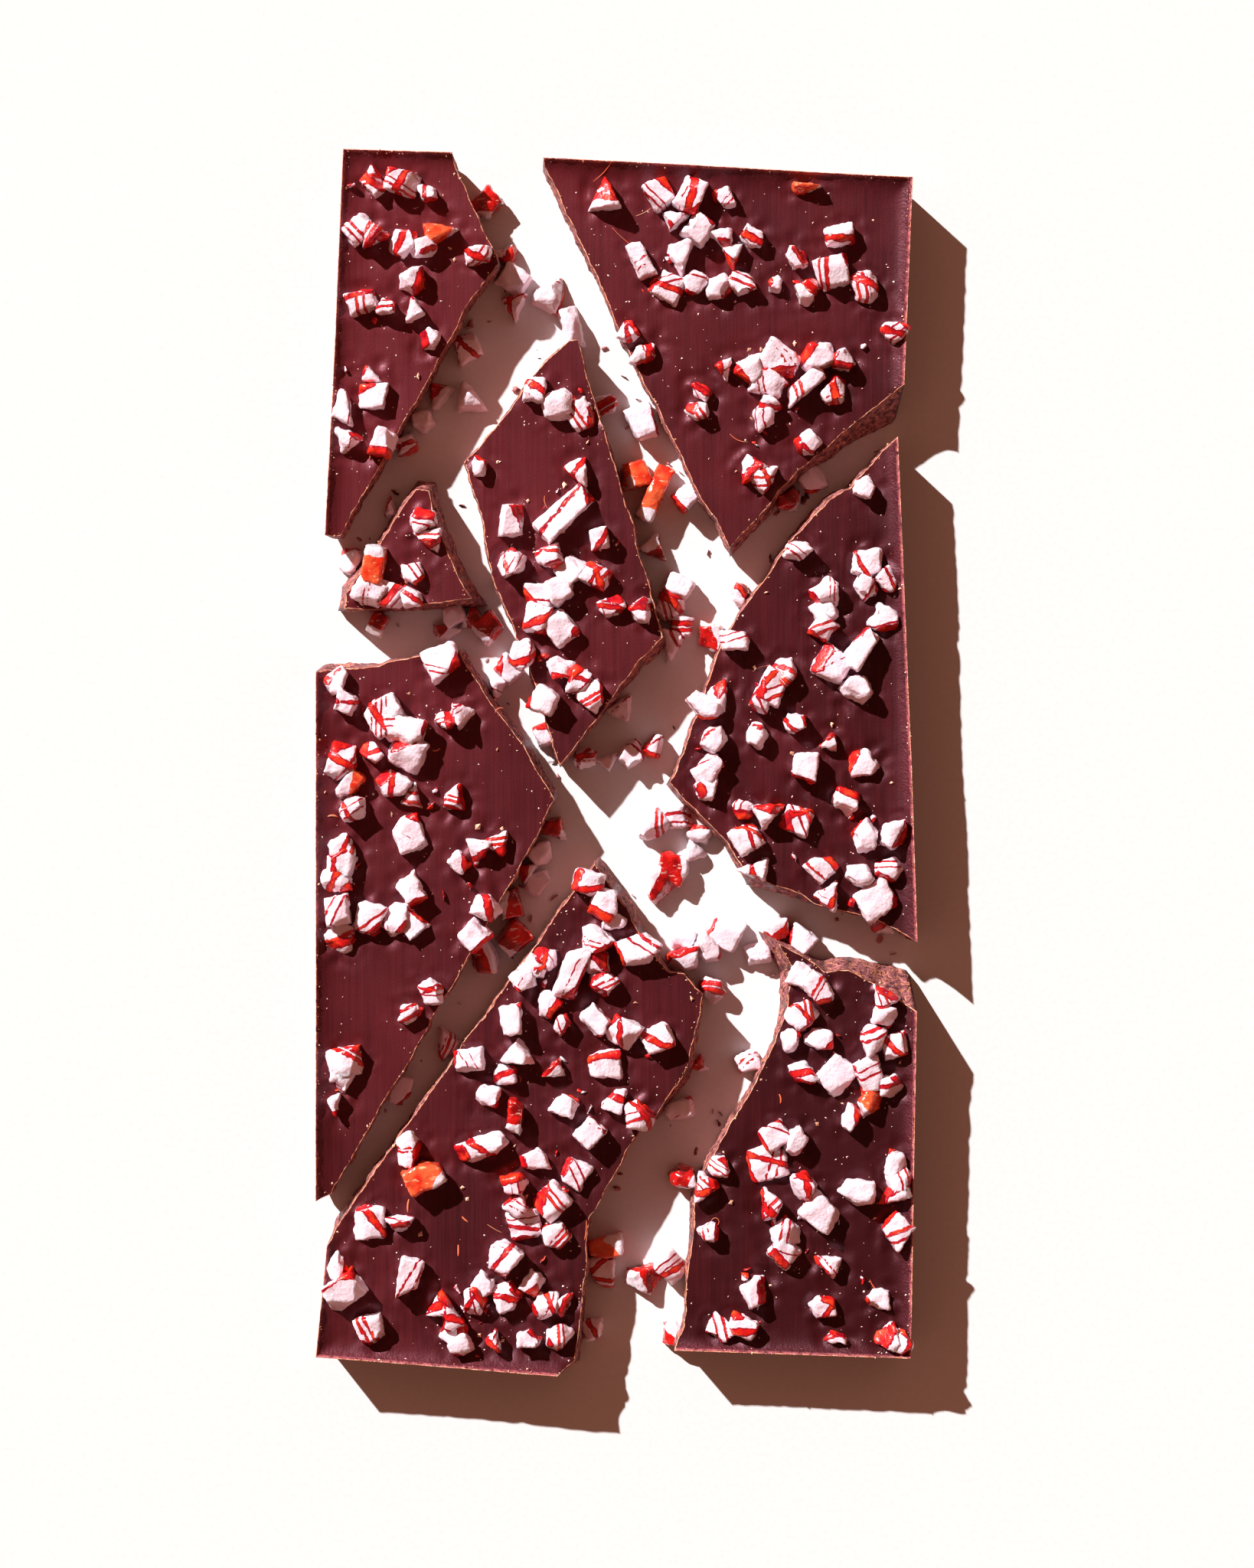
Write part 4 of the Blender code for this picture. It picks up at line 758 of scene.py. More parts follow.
def pieces_on_top(name, shard):
    """The candy that sits in the top face."""
    rng = random.Random(name + " top")
    z = THICK - SUNK
    pieces = [own_piece(row, z, f"{name} single {k}") for k, row in enumerate(shard.singles)]
    for row in shard.rows:
        for x, y in along_row(row):
            x += rng.uniform(-WANDER, WANDER)
            y += rng.uniform(-WANDER, WANDER)
            pieces.append(drawn_piece(rng, x, y, z, f"{name} top {len(pieces)}"))
    return [kept_in(piece._replace(height=piece.height + SUNK)) for piece in pieces]


def flank(shard):
    """The outline of a shard's side, low down."""
    return [side_place(point, FLANK_AT, False).xy for point in edge_points(shard, False)]


def nearest_on(outline, place):
    """The nearest point of an outline to a place."""
    best = None
    for a, b in edges(outline):
        share = max(0.0, min(1.0, geometry.intersect_point_line(place, a, b)[1]))
        foot = a.lerp(b, share)
        if best is None or (place - foot).length < (place - best).length:
            best = foot
    return best


def footprint(piece, share=2.0):
    """The convex outline of a piece seen from above, of its corners below a share of its height."""
    low = [corner.xy for corner in piece_corners(piece) if corner.z < share * piece.height]
    return [low[i] + Vector((piece.x, piece.y)) for i in geometry.convex_hull_2d(low)]


def kept_in(piece):
    """The piece, shifted so that nothing of it stands out beyond the slab."""
    dx, dy = (
        max(0.0, -most - min(row)) - max(0.0, max(row) - most)
        for row, most in zip(zip(*footprint(piece)), (WIDEST, LONGEST))
    )
    return piece._replace(x=piece.x + dx, y=piece.y + dy)


def overlap(first, second):
    """How deep two convex outlines reach into each other, or minus the gap that surely parts them."""
    least = math.inf
    for outline in (first, second):
        for a, b in edges(outline):
            axis = outward(a, b)
            one = [place.dot(axis) for place in first]
            two = [place.dot(axis) for place in second]
            least = min(least, max(one) - min(two), max(two) - min(one))
    return least


def is_held(piece, side, neighbours):
    """Whether a low piece grips the side of its own shard or a piece that does."""
    base = footprint(piece, BASE_SHARE)
    if any(inside(side, *place) and (nearest_on(side, place) - place).length > BITE for place in base):
        return True
    return any(overlap(base, footprint(other, BASE_SHARE)) > BITE for other in neighbours)


def settled(piece, side, neighbours):
    """Slides a low piece towards the nearest thing of its own shard until it is held."""
    for _ in range(round(FARTHEST / SLIDE)):
        if is_held(piece, side, neighbours):
            return piece
        middle = Vector((piece.x, piece.y))
        goals = [nearest_on(side, middle)] + [Vector((other.x, other.y)) for other in neighbours]
        nearest = min(goals, key=lambda goal: (goal - middle).length)
        middle += (nearest - middle).normalized() * SLIDE
        piece = piece._replace(x=middle.x, y=middle.y)
    return None


def keeps_clear(piece, name, sides, others):
    """Whether a low piece stays off every other shard and off the low pieces of other shards."""
    rim = footprint(piece)
    for other, side in sides.items():
        if other != name:
            for place in rim:
                if inside(side, *place) or (place - nearest_on(side, place)).length < CLEAR:
                    return False
    return all(owner == name or overlap(rim, footprint(taken)) <= -CLEAR for owner, taken in others)


def low_pieces(name, shard):
    """The candy that lies in the breaks beside a shard, before it is settled."""
    rng = random.Random(name + " low")
    for row in shard.stuck:
        yield own_piece(row, LIFT, f"{name} stuck {row[0]}")
    for row in shard.caught:
        for x, y in along_row(row):
            piece = drawn_piece(rng, x, y, LIFT + rng.uniform(0, LIFT_VARIES), f"{name} low {x:.1f}")
            yield piece._replace(colour=rng.choice(("white_candy", "white_candy", "red_candy")))


def pieces_caught():
    """The candy caught in the breaks, each piece held by its own shard and clear of the rest."""
    sides = {name: flank(shard) for name, shard in SHARDS.items()}
    placed = []
    for name, shard in SHARDS.items():
        for piece in low_pieces(name, shard):
            own = [other for owner, other in placed if owner == name]
            piece = settled(piece, sides[name], own)
            if piece and keeps_clear(piece, name, sides, placed):
                placed.append((name, piece))
    return placed


def random_direction(rng, flatness=0.35):
    """A unit vector in a random direction, mostly level."""
    turn = rng.uniform(0, 2 * math.pi)
    rise = rng.uniform(-flatness, flatness)
    level = math.sqrt(1 - rise * rise)
    return Vector((level * math.cos(turn), level * math.sin(turn), rise))


def broken_off(bm, way, share):
    """Breaks a share of a piece off on one side and gives how far out the new face is."""
    reach = max(vert.co.dot(way) for vert in bm.verts)
    spread = reach - min(vert.co.dot(way) for vert in bm.verts)
    level = reach - spread * share
    cut = bmesh.ops.bisect_plane(
        bm, geom=bm.verts[:] + bm.edges[:] + bm.faces[:], dist=1e-4,
        plane_co=way * level, plane_no=way, clear_outer=True,
    )
    rim = [item for item in cut["geom_cut"] if isinstance(item, bmesh.types.BMEdge)]
    bmesh.ops.contextual_create(bm, geom=rim)
    return level


def chipped(bm, piece, rng):
    """Presses a shell-shaped chip into the side of a piece."""
    middle = Vector((0, 0, rng.uniform(*CHIP_UP) * piece.height))
    way = random_direction(rng)
    reach = max((vert.co - middle).dot(way) for vert in bm.verts)
    radius = rng.uniform(*CHIP_ROUND)
    centre = middle + way * (reach + radius - rng.uniform(*CHIP_DEEP))
    for vert in bm.verts:
        away = vert.co - centre
        if away.length < radius:
            vert.co = centre + away.normalized() * radius


def candy_body(piece, rng):
    """A piece in fine detail: its hull with corners broken off, edges worn, sides chipped and ragged."""
    bm = bmesh.new()
    for corner in piece_corners(piece):
        bm.verts.new(corner)
    bmesh.ops.convex_hull(bm, input=bm.verts)
    bmesh.ops.delete(bm, geom=[vert for vert in bm.verts if not vert.link_faces], context="VERTS")
    way = Vector((rng.uniform(-TOP_TILT, TOP_TILT), rng.uniform(-TOP_TILT, TOP_TILT), 1)).normalized()
    broken_off(bm, way, rng.uniform(*TOP_DEEP))
    breaks = []
    for _ in range(BREAKS):
        way = random_direction(rng, 0.8)
        way.z = abs(way.z)
        breaks.append((way, broken_off(bm, way, rng.uniform(*BREAK_DEEP))))
    bmesh.ops.dissolve_limit(bm, angle_limit=math.radians(FLAT), verts=bm.verts, edges=bm.edges)
    bmesh.ops.remove_doubles(bm, verts=bm.verts, dist=SHORT)
    for longest in FINENESS:
        bmesh.ops.triangulate(bm, faces=bm.faces)
        long_edges = [edge for edge in bm.edges if edge.calc_length() > longest]
        bmesh.ops.subdivide_edges(bm, edges=long_edges, cuts=1, use_grid_fill=True)
    bmesh.ops.triangulate(bm, faces=bm.faces)
    all_ways = dict(use_axis_x=True, use_axis_y=True, use_axis_z=True)
    for _ in range(rng.choice(WORN)):
        bmesh.ops.smooth_vert(bm, verts=bm.verts, factor=0.5, **all_ways)
    for _ in range(rng.choice(CHIPS)):
        chipped(bm, piece, rng)
    bmesh.ops.recalc_face_normals(bm, faces=bm.faces)
    bm.normal_update()
    start = random_direction(rng, 1.0) * FAR
    rough = rng.uniform(*ROUGH)
    shifts = []
    for vert in bm.verts:
        at = vert.co + start
        ragged = RAGGED * (1 - abs(vert.normal.z)) * noise.noise(at / RAGGED_LONG)
        swell = rough * (noise.noise(at / LUMP_LONG) + SWOLLEN) + NICK * noise.noise(at / NICK_LONG)
        shifts.append(vert.normal * (swell + ragged))
    for vert, shift in zip(bm.verts, shifts):
        vert.co += shift
    return bm, breaks


def stripe_values(co, marks):
    """What the stripes need at a point of a piece: place across the lines, how wide, and the bands."""
    across = co.dot(marks.lines) - marks.lines_at
    line_wide = marks.line_wide if abs(across) < marks.bundle else -1.0
    end = co.dot(marks.side) - marks.side_from
    middle = marks.stroke_wide - abs(co.dot(marks.stroke) - marks.stroke_at)
    return across / marks.spacing, line_wide, end, middle


def is_lined(piece):
    """Whether red lines run through a piece."""
    return random.Random(piece.seed + " lined").random() < LINED


def drawn_marks(piece, bm, breaks, rng):
    """Where a piece's stripes, its red side and its red stroke lie."""
    lines, side, stroke = (random_direction(rng) for _ in range(3))
    if rng.random() < FACETED:
        side, side_from = breaks[0]
        side_from -= FACET_DEEP
    else:
        side_from = max(vert.co.dot(side) for vert in bm.verts) - rng.uniform(*SIDE_DEEP)
    if piece.colour in ("red_candy", "amber_candy"):
        side_from -= END_DEEP
    spacing = rng.uniform(*LINE_SPACING)
    sided = rng.random() < SIDED or piece.colour != "white_candy"
    stroked = rng.random() < STROKED
    if piece.z < THICK / 2 and piece.colour == "white_candy" and side.z > UPRIGHT:
        sided = False
    return Marks(
        lines, rng.uniform(-LINES_ASIDE, LINES_ASIDE) * piece.length, rng.uniform(*BUNDLE), spacing,
        rng.uniform(*LINE_WIDE) / spacing if is_lined(piece) else -1.0,
        side, side_from if sided else 1e3,
        stroke, rng.uniform(-STROKE_ASIDE, STROKE_ASIDE), rng.uniform(*STROKE_WIDE) if stroked else -1e3,
    )


def placed(name, data):
    """An object in the scene, from its mesh, lamp or lens."""
    made = bpy.data.objects.new(name, data)
    bpy.context.scene.collection.objects.link(made)
    return made


def shown(name, mesh, slot, finish, node=None):
    """Puts a mesh in the scene as a piece that stays with the slab, and may stand for a solid."""
    made = placed(name, mesh)
    mesh.materials.append(finish)
    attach(made, "root")
    if node:
        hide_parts(node)


def show_candy(name, pieces, slot, finish):
    """Shows candy of one kind as one mesh, with its markings stored on its points."""
    places, faces, values = [], [], []
    for piece in pieces:
        rng = random.Random(piece.seed + " fine")
        bm, breaks = candy_body(piece, rng)
        marks = drawn_marks(piece, bm, breaks, rng)
        shade = rng.random()
        base = len(places)
        bm.verts.index_update()
        for vert in bm.verts:
            place = Vector((piece.x, piece.y, piece.z)) + vert.co
            place.z = max(place.z, LOWEST)
            places.append(place)
            values.append((*stripe_values(vert.co, marks), shade))
        faces += [[base + vert.index for vert in face.verts] for face in bm.faces]
        bm.free()
    values = dict(zip(("lines", "line_wide", "side", "stroke", "shade"), zip(*values)))
    shown(name, new_mesh(name, places, faces, values), slot, finish)


def grain_corners(rng, size):
    """The six corners of a tiny uneven grain, about its middle."""
    turn = rng.uniform(0, math.pi)
    corners = []
    for k in range(4):
        angle = turn + k * math.pi / 2 + rng.uniform(-0.4, 0.4)
        reach = rng.uniform(0.6, 1.0) * (size.x if k % 2 == 0 else size.y)
        rise = rng.uniform(-0.2, 0.2) * size.z
        corners.append(Vector((reach * math.cos(angle), reach * math.sin(angle), rise)))
    return corners + [Vector((0, 0, size.z)), Vector((0, 0, -size.z))]


GRAIN_FACES = [(k, (k + 1) % 4, 4) for k in range(4)] + [((k + 1) % 4, k, 5) for k in range(4)]


def show_grains(name, grains, slot, finish):
    """Shows tiny grains as one mesh, from their places, sizes and seeds."""
    places, faces = [], []
    for middle, size, seed in grains:
        faces += [[len(places) + i for i in face] for face in GRAIN_FACES]
        places += [middle + corner for corner in grain_corners(random.Random(seed), size)]
    shown(name, new_mesh(name, places, faces, smooth=False), slot, finish)


def drawn_size(rng, kind):
    """The length, width and height of a small thing, drawn at random."""
    length = rng.triangular(*kind.lengths)
    return length, length * rng.uniform(*kind.widths), length * rng.uniform(*kind.heights)


def drawn_grain(rng, x, y, z, kind, raised=0.0):
    """A grain of a size drawn at random, raised by a share of its height."""
    size = Vector(drawn_size(rng, kind))
    return Vector((x, y, z + raised * size.z)), size / 2, rng.random()


def small_lump(rng, x, y, z, size, colour, seed):
    """A small piece of candy or chocolate."""
    return Piece(x, y, z, *size, rng.uniform(0, 180), "lump", colour, seed)


def bits_beside(name, shard, pieces):
    """Small bits of candy lying on the top face close to the pieces they broke off."""
    rng = random.Random(name + " bits")
    border = [point.place + point.inward for point in edge_points(shard, False)]
    bits = []
    while len(bits) < round(BITS * len(pieces)):
        near = rng.choice(pieces)
        turn = rng.uniform(0, 2 * math.pi)
        away = rng.uniform(*BIT_AWAY)
        x, y = near.x + away * math.cos(turn), near.y + away * math.sin(turn)
        size = drawn_size(rng, BIT)
        if inside(border, x, y):
            z = float(top_heights([(x, y)], shard, pieces)[0]) - BIT_SUNK
            bits.append(small_lump(rng, x, y, z, size, near.colour, f"{name} bit {len(bits)}"))
    return bits


def crumbs_beside(name, shard, sides):
    """Crumbs of chocolate on the floor along the breaks of a shard."""
    rng = random.Random(name + " crumbs")
    broken = [point for point in edge_points(shard, True) if point.broken > 0.9]
    crumbs = []
    while len(crumbs) < CRUMBS:
        point = rng.choice(broken)
        x, y = point.place + point.foot + point.normal * rng.triangular(*CRUMB_AWAY, CRUMB_AWAY[0])
        size = drawn_size(rng, CRUMB)
        if abs(x) > WIDEST - size[0] or abs(y) > LONGEST - size[0]:
            continue
        if not any(inside(side, x, y) for side in sides):
            crumbs.append(small_lump(rng, x, y, 0, size, "chocolate", f"{name} crumb {len(crumbs)}"))
    return crumbs


def scattered(name, shard, pieces, density, kind, spread):
    """Grains over the top face of a shard: a share of them anywhere, the rest close to the candy."""
    count = round(density * len(pieces))
    rng = random.Random(f"{name} {count} {kind.lengths}")
    border = [point.place + point.inward * 0.4 for point in edge_points(shard, False)]
    spans = [(min(row), max(row)) for row in zip(*border)]
    places = []
    while len(places) < count:
        if rng.random() < spread:
            place = Vector([rng.uniform(*span) for span in spans])
        else:
            near = rng.choice(pieces)
            place = Vector((near.x, near.y)) + Vector([rng.gauss(0, NEAR_CANDY) for _ in range(2)])
        if inside(border, *place):
            places.append(place)
    return [
        drawn_grain(rng, *place, height, kind, GRAIN_RISE)
        for place, height in zip(places, top_heights(places, shard, pieces))
    ]


def along_edges(name, shard, pieces):
    """Crumbs of chocolate left along the edges of the top, thick in some stretches, none in others."""
    rng = random.Random(name + " edges")
    grains = []
    for point in edge_points(shard, True):
        crowding = noise.noise(Vector((*point.place, 0)) / EDGE_CRUMBS_LONG)
        if rng.random() > EDGE_CRUMBS * (0.2 + 2 * max(0.0, crowding)):
            continue
        if rng.random() < ON_SIDE * point.broken:
            x, y, z = side_place(point, rng.uniform(*CRUMB_UP), True)
        else:
            x, y = point.place + point.inward * rng.triangular(*CRUMB_IN)
            z = float(top_heights([(x, y)], shard, pieces)[0])
        grains.append(drawn_grain(rng, x, y, z, EDGE_CRUMB))
    return grains


def hairs_mesh(name, on_top):
    """Hairs of dried syrup and scratched-up chocolate lying on the top: bent strands of four sides."""
    places, faces = [], []
    hairs = [(owner, *hair) for owner, shard in SHARDS.items() for hair in shard.hairs]
    for owner, x, y, length, turn, bend, thick in hairs:
        angle = math.radians(turn)
        place = Vector((x, y))
        rows = []
        for _ in range(HAIR_STEPS + 1):
            rows.append((place.copy(), angle))
            place += Vector((math.cos(angle), math.sin(angle))) * length / HAIR_STEPS
            angle += math.radians(bend) / HAIR_STEPS
        heights = top_heights([row[0] for row in rows], SHARDS[owner], on_top[owner])
        base = len(places)
        for k, ((place, angle), height) in enumerate(zip(rows, heights)):
            half = thick / 2 * (1 - HAIR_TAPER * abs(2 * k / HAIR_STEPS - 1) ** 3)
            across = Vector((-math.sin(angle), math.cos(angle), 0)) * half
            middle = Vector((place.x, place.y, height + 0.4 * half))
            up = Vector((0, 0, half))
            places += [middle + way for way in (across, up, -across, -up)]
        end = base + 4 * HAIR_STEPS
        for low in range(base, end, 4):
            faces += band(low + 4, low, 4)
        faces += [(base, base + 3, base + 2, base + 1), (end, end + 1, end + 2, end + 3)]
    return new_mesh(name, places, faces)


class Value:
    """A number worked out by the nodes of a material, for use in sums."""

    def __init__(self, finish, socket):
        self.finish = finish
        self.socket = socket

    def sum(self, operation, other=0.0):
        """The result of a sum on this value and another."""
        return self.finish.add("ShaderNodeMath", {0: self, 1: other}, operation=operation)

    def __add__(self, other):
        return self.sum("ADD", other)

    def __sub__(self, other):
        return self.sum("SUBTRACT", other)

    def __mul__(self, other):
        return self.sum("MULTIPLY", other)

    def __abs__(self):
        return self.sum("ABSOLUTE")

    def ramp(self, low, high):
        """This value spread from 0 at low to 1 at high."""
        return self.finish.add("ShaderNodeMapRange", {"Value": self, "From Min": low, "From Max": high})


class Finish:
    """Short calls for making and joining the nodes of a material, or of the light all round."""

    def __init__(self, owner, shader="Principled BSDF", **settings):
        owner.use_nodes = True
        self.tree = owner.node_tree
        self.shader = self.tree.nodes[shader]
        self.set(**settings)

    def set(self, **settings):
        """Sets or joins inputs of the shader."""
        for socket, value in settings.items():
            self.put(self.shader.inputs[socket.replace("_", " ")], value)

    def put(self, socket, value):
        """Joins a socket to a value of the nodes, or sets it."""
        if isinstance(value, Value):
            self.tree.links.new(value.socket, socket)
        else:
            socket.default_value = value

    def add(self, kind, inputs=(), out=0, **settings):
        """Adds a node, with its settings and its inputs, and gives one of its outputs."""
        made = self.tree.nodes.new(kind)
        for key, value in settings.items():
            setattr(made, key, value)
        for key, value in dict(inputs).items():
            self.put(made.inputs[key], value)
        return Value(self, made.outputs[out])

    def place(self, kind="Object"):
        """The place that is being coloured."""
        return self.add("ShaderNodeTexCoord", out=kind)

    def read(self, label):
        """A number stored on the mesh's points."""
        return self.add("ShaderNodeAttribute", out="Fac", attribute_name=label)

    def noise(self, long, detail=2.0, stretch=(1, 1, 1), rough=0.5):
        """Noise between 0 and 1 with hills of a given length in millimetres."""
        scale = tuple(1 / (long * MM * part) for part in stretch)
        place = self.add("ShaderNodeMapping", {"Vector": self.place(), "Scale": scale})
        inputs = {"Vector": place, "Scale": 1.0, "Detail": detail, "Roughness": rough}
        return self.add("ShaderNodeTexNoise", inputs)

    def mix(self, share, first, second):
        """One colour blended into another."""
        first, second = (one if isinstance(one, Value) else (*one, 1.0) for one in (first, second))
        return self.add("ShaderNodeMix", {0: share, 6: first, 7: second}, out=2, data_type="RGBA")

    def relief(self, height, depth):
        """Bumps whose full height is depth millimetres."""
        inputs = {"Height": height, "Distance": depth * MM, "Strength": 1.0}
        self.set(Normal=self.add("ShaderNodeBump", inputs))


def chocolate_finish():
    """Satin dark chocolate, streaked lengthwise and painted darker towards the lower right, with dusty
    crags where it broke, pale worn crests, and painted sheen and highlight along the rims.
    """
    material = bpy.data.materials.new("chocolate")
    made = Finish(material, IOR=1.5, Specular_IOR_Level=0.6, Specular_Tint=(*SHEEN, 1.0))
    broken, crest, rim = made.read("broken"), made.read("crest"), made.read("rim")
    # The top: clouds, streaks, and painted shade that slowly darkens it towards the lower right
    clouds = made.noise(14.0, 3.0)
    streaks = made.noise(0.48, 3.0, (1.0, 38.0, 1.0), 0.6)
    grain = made.noise(0.35, 4.0)
    inputs = {0: made.place(), 1: PAINTED_FALLOFF}
    shade_falloff = made.add("ShaderNodeVectorMath", inputs, "Value", operation="DOT_PRODUCT")
    blend = clouds * 0.7 + streaks * 0.65 + shade_falloff
    top = made.mix(blend.ramp(0.4, 1.19), CHOCOLATE_DARK, CHOCOLATE_LIGHT)
    # Patches of dust and painted sheen near the rim, and a speckled painted highlight along its very edge
    dust_and_sheen = made.noise(0.45, 4.0).ramp(0.35, 0.7) * rim * made.noise(22.0, 1.0).ramp(0.36, 0.6)
    top = made.mix(dust_and_sheen, top, RIM_DUST_AND_SHEEN)
    rim_highlight = rim.ramp(0.72, 0.95) * made.noise(0.8, 4.0).ramp(0.34, 0.58)
    top = made.mix(rim_highlight * 0.75, top, RIM_HIGHLIGHT)
    # The breaks: pale dust on dark crags, with a few bright ridges
    crags = made.noise(0.8, 6.0, rough=0.68)
    dusty = made.mix(crags.ramp(0.38, 0.62), BREAK_DARK, BREAK_LIGHT)
    ridge = abs(made.noise(2.4, 3.0) - 0.5)
    dusty = made.mix(ridge.ramp(0.025, 0.008) * 0.6, dusty, CREST)
    face = made.mix(broken, top, dusty)
    # Edges worn pale here and there
    worn = (crest * 1.5 + made.noise(0.9, 4.0) * -2.0).ramp(0.0, 0.4) * CREST_SHARE
    powder = made.mix(made.noise(0.6, 2.0).ramp(0.5, 0.62), CREST, CREAM)
    gloss = made.noise(4.0, 4.0) * 0.16 + SATIN + rim * 0.15
    dull = (broken * 0.8).sum("MAXIMUM", worn)
    made.set(Base_Color=made.mix(worn, face, powder), Roughness=gloss.sum("MAXIMUM", dull))
    fine = streaks * 0.1 + grain * (rim * 0.6 + 0.08)
    rough = broken * (crags + grain * 0.6)
    made.relief(fine + rough * 1.4, CHOCOLATE_RELIEF)
    return material


def line_room(made, waver):
    """How far inside one of its red lines, or its red stroke, a place of a piece is."""
    across = made.read("lines") + waver * 0.5
    off = abs(across.sum("FRACT") - 0.5)
    line = across.sum("FLOOR") + made.read("shade") * 40.0
    drawn = made.add("ShaderNodeTexWhiteNoise", {"W": line}, "Value", noise_dimensions="1D")
    room = made.read("line_wide") * drawn.ramp(-0.5, 1.2) - off
    return room.sum("MAXIMUM", (made.read("stroke") + waver) * 0.7)


def side_room(made, waver):
    """How deep inside its red side a place of a piece is."""
    return made.read("side") + waver * 0.9


def white_finish():
    """White hard candy with red lines and vivid red sides, both crimson along their borders."""
    material = bpy.data.materials.new("white_candy")
    made = Finish(
        material, Roughness=0.32, IOR=1.5, Subsurface_Weight=0.5, Subsurface_Scale=0.45 * MM,
        Subsurface_Radius=(1.0, 0.6, 0.65), Coat_Weight=0.1, Coat_Roughness=0.25,
    )
    mottle = made.noise(1.8, 3.0)
    waver = made.noise(1.4, 2.0) - 0.5
    colour = made.mix(mottle.ramp(0.35, 0.8), WHITE, WHITE_SHADED)
    vivid = made.mix(made.noise(2.6, 1.0).ramp(0.48, 0.66), RED, RED_ORANGE)
    vivid = made.mix(made.noise(0.4, 2.0).ramp(0.55, 0.7) * 0.7, vivid, CRIMSON)
    for room, core in ((line_room(made, waver), LINE_CORE), (side_room(made, waver), SIDE_CORE)):
        red = made.mix(room.ramp(0.3 * core, core), CRIMSON, vivid)
        colour = made.mix(room.ramp(-SOFT, SOFT), colour, red)
    made.set(Base_Color=colour)
    made.relief(made.noise(0.5, 3.0) + mottle * 0.6, WHITE_RELIEF)
    return material


def clear_finish(name, deep, bright, pale):
    """Clear coloured candy with pale streaks painted on as glints, and a white end."""
    material = bpy.data.materials.new(name)
    made = Finish(
        material, Roughness=0.2, IOR=1.5, Transmission_Weight=0.1, Subsurface_Weight=0.35,
        Subsurface_Scale=1.2 * MM, Subsurface_Radius=(1.0, 0.3, 0.15),
        Coat_Weight=1.0, Coat_Roughness=0.06,
    )
    body = made.mix(made.noise(2.2, 1.0).ramp(0.36, 0.6), deep, bright)
    # Painted glints: pale streaks that stand for highlights on the glassy candy
    glints = made.noise(0.6, 2.0, (2.5, 1.0, 1.0)).ramp(0.62, 0.7) * 0.8
    ends = side_room(made, made.noise(1.4, 2.0) - 0.5).ramp(-0.03, 0.03)
    made.set(Base_Color=made.mix(ends, made.mix(glints, body, pale), WHITE))
    made.relief(made.noise(1.5, 2.0), CLEAR_RELIEF)
    return material


def grain_finish(name, first, second):
    """Tiny grains, each a little different in colour."""
    material = bpy.data.materials.new(name)
    made = Finish(material, Roughness=0.6, IOR=1.45)
    made.set(Base_Color=made.mix(made.noise(2.2, 1.0).ramp(0.4, 0.6), first, second))
    return material


def floor_finish():
    """Pale matt paper."""
    material = bpy.data.materials.new("floor")
    made = Finish(material, Roughness=0.9)
    made.set(Base_Color=made.mix(made.noise(0.8, 2.0), *PAPER))
    return material


def light_the_scene():
    """A low key light from the upper left, and a weak fill all round."""
    world = bpy.data.worlds.new("fill")
    bpy.context.scene.world = world
    sky = Finish(world, "Background", Color=(*FILL_COLOUR, 1.0))
    rise = sky.add("ShaderNodeSeparateXYZ", {0: sky.place("Generated")}, "Z")
    inputs = {"Value": rise, "To Min": FILL_LOW, "To Max": FILL_HIGH}
    sky.set(Strength=sky.add("ShaderNodeMapRange", inputs))
    key = bpy.data.lights.new("key", "SUN")
    key.energy = KEY
    key.angle = math.radians(KEY_SOFT)
    key.color = KEY_COLOUR
    up, turn = math.radians(KEY_UP), math.radians(KEY_TURN)
    from_key = Vector((math.cos(up) * math.cos(turn), math.cos(up) * math.sin(turn), math.sin(up)))
    placed("key", key).rotation_euler = from_key.to_track_quat("Z", "Y").to_euler()
    bpy.context.scene.view_settings.view_transform = "Standard"


def set_up_camera():
    """The camera, straight above."""
    lens = bpy.data.cameras.new("camera")
    lens.sensor_fit = "VERTICAL"
    lens.sensor_height = SENSOR
    lens.lens = LENS
    lens.clip_start = 0.01
    camera = placed("camera", lens)
    camera.location = Vector((*FRAME_MIDDLE, THICK + FRAME_HIGH * LENS / SENSOR)) * MM
    bpy.context.scene.camera = camera


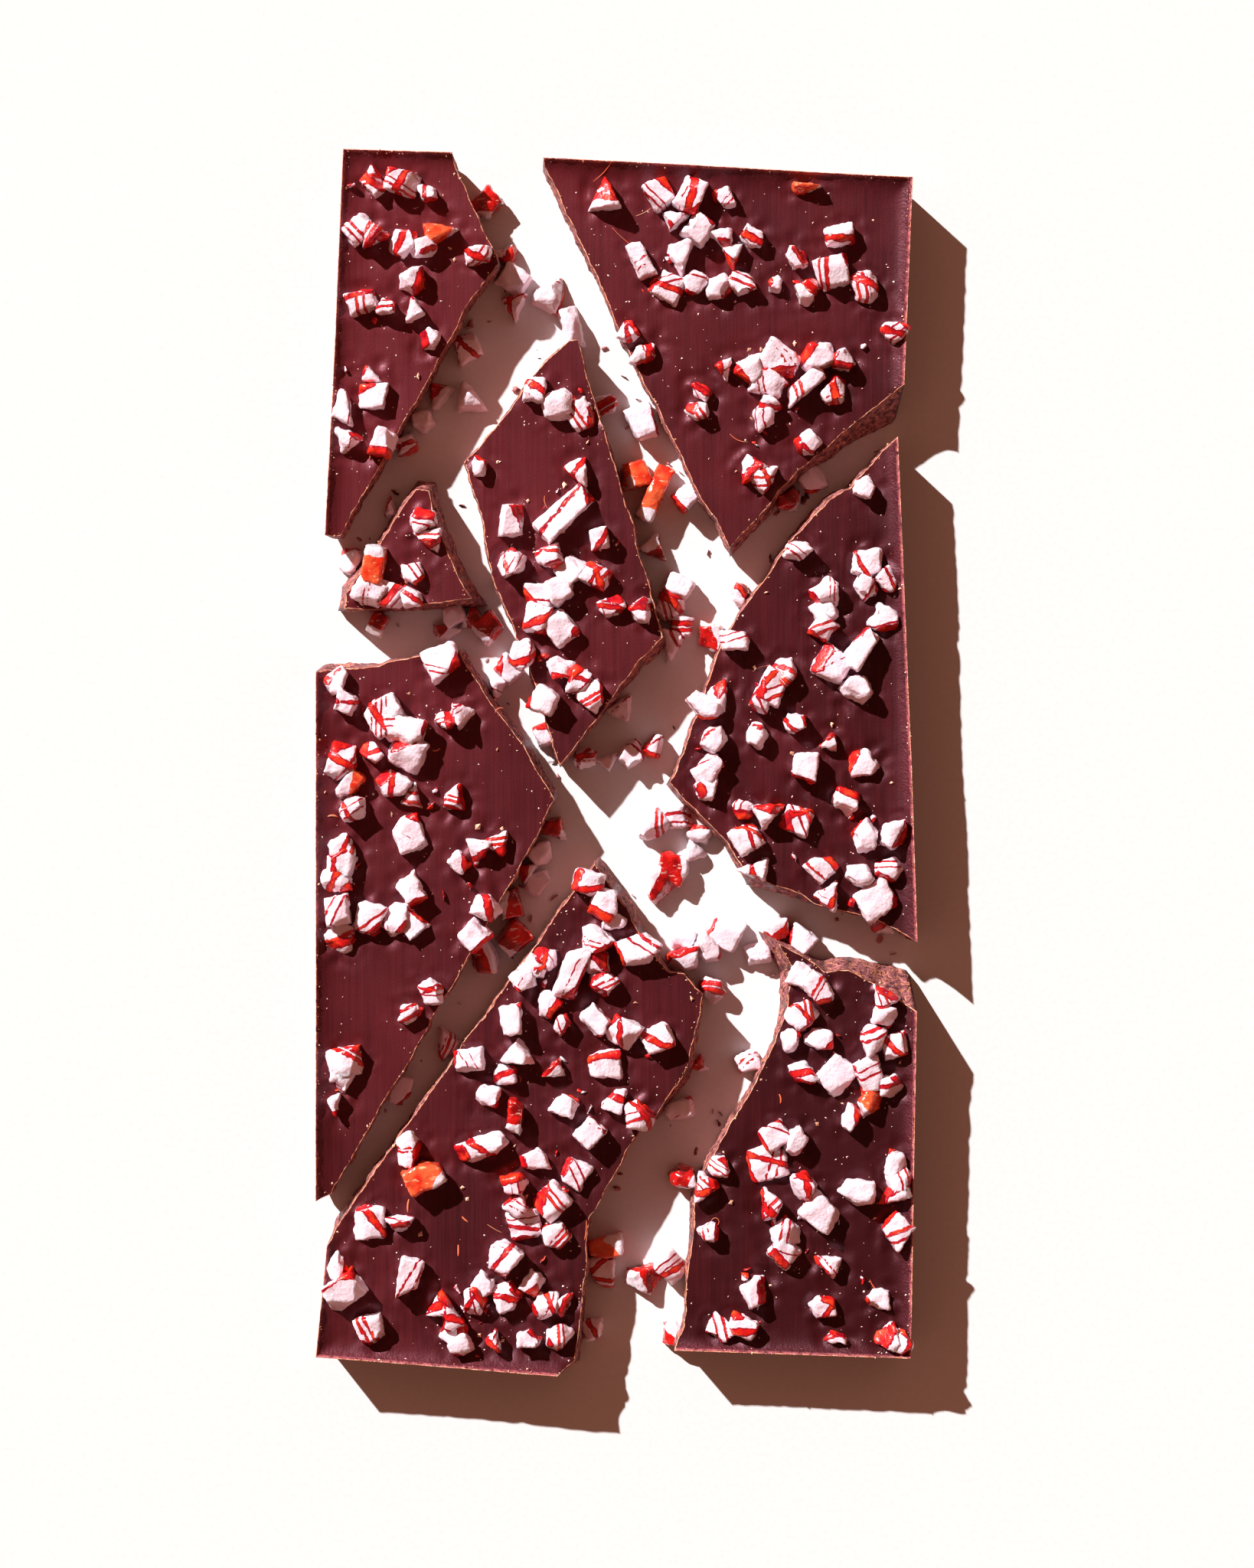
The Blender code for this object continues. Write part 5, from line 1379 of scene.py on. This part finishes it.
def show_chocolate_and_candy(on_top):
    """The shards' chocolate, its crumbs on the floor, and all the candy."""
    chocolate = chocolate_finish()
    for name, shard in SHARDS.items():
        mesh = chocolate_mesh(name, shard, on_top[name])
        shown(name + "_chocolate", mesh, "chocolate", chocolate, name)
    sides = [flank(shard) for shard in SHARDS.values()]
    crumbs = [crumb for name, shard in SHARDS.items() for crumb in crumbs_beside(name, shard, sides)]
    dusty = grain_finish("crumbs", CHOCOLATE_LIGHT, BREAK_LIGHT)
    show_candy("chocolate_crumbs", crumbs, "chocolate", dusty)
    candy = [piece for pieces in on_top.values() for piece in pieces]
    candy += [piece._replace(height=piece.height * TALLER) for _, piece in pieces_caught()]
    for name, shard in SHARDS.items():
        candy += bits_beside(name, shard, on_top[name])
    white = [piece for piece in candy if piece.colour == "white_candy"]
    hard_white = white_finish()
    for kind, lined in (("plain", False), ("striped", True)):
        pieces = [piece for piece in white if is_lined(piece) == lined]
        show_candy(kind + "_candy_pieces", pieces, "white_candy", hard_white)
    for slot, *colours in (
        ("red_candy", RED_DEEP, RED, PALE_RED), ("amber_candy", AMBER_DEEP, AMBER, AMBER_GLINT),
    ):
        pieces = [piece for piece in candy if piece.colour == slot]
        show_candy(slot + "_pieces", pieces, slot, clear_finish(slot, *colours))


def show_grains_and_hairs(on_top):
    """What lies on the top faces: sugar specks, chocolate flakes and hairs."""
    specks, flakes = [], []
    for name, shard in SHARDS.items():
        top = name, shard, on_top[name]
        specks += scattered(*top, SPECKS, SPECK, SPECKS_SPREAD)
        flakes += scattered(*top, FLAKES, FLAKE, FLAKES_SPREAD) + along_edges(*top)
    show_grains("sugar_specks", specks, "white_candy", grain_finish("sugar", SUGAR, PALE_RED))
    show_grains("chocolate_flakes", flakes, "chocolate", grain_finish("flakes", CREAM, TAN))
    hairs = hairs_mesh("syrup_hairs", on_top)
    shown("syrup_hairs", hairs, "amber_candy", grain_finish("syrup", TAN, AMBER))


def lay_floor():
    """The paper that the shards lie on."""
    half = FLOOR / 2
    plan = ((-half, -half), (half, -half), (half, half), (-half, half))
    corners = [Vector((x, y, FLOOR_AT)) for x, y in plan]
    floor = placed("floor", new_mesh("floor", corners, [(0, 1, 2, 3)], smooth=False))
    floor.data.materials.append(floor_finish())
    floor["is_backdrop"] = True


light_the_scene()
set_up_camera()
candy_on_top = {name: pieces_on_top(name, shard) for name, shard in SHARDS.items()}
show_chocolate_and_candy(candy_on_top)
show_grains_and_hairs(candy_on_top)
lay_floor()
boxes = {"cad": CAD_BOX, "visual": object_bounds()}
{name: [list(corner) for corner in box] for name, box in boxes.items()}
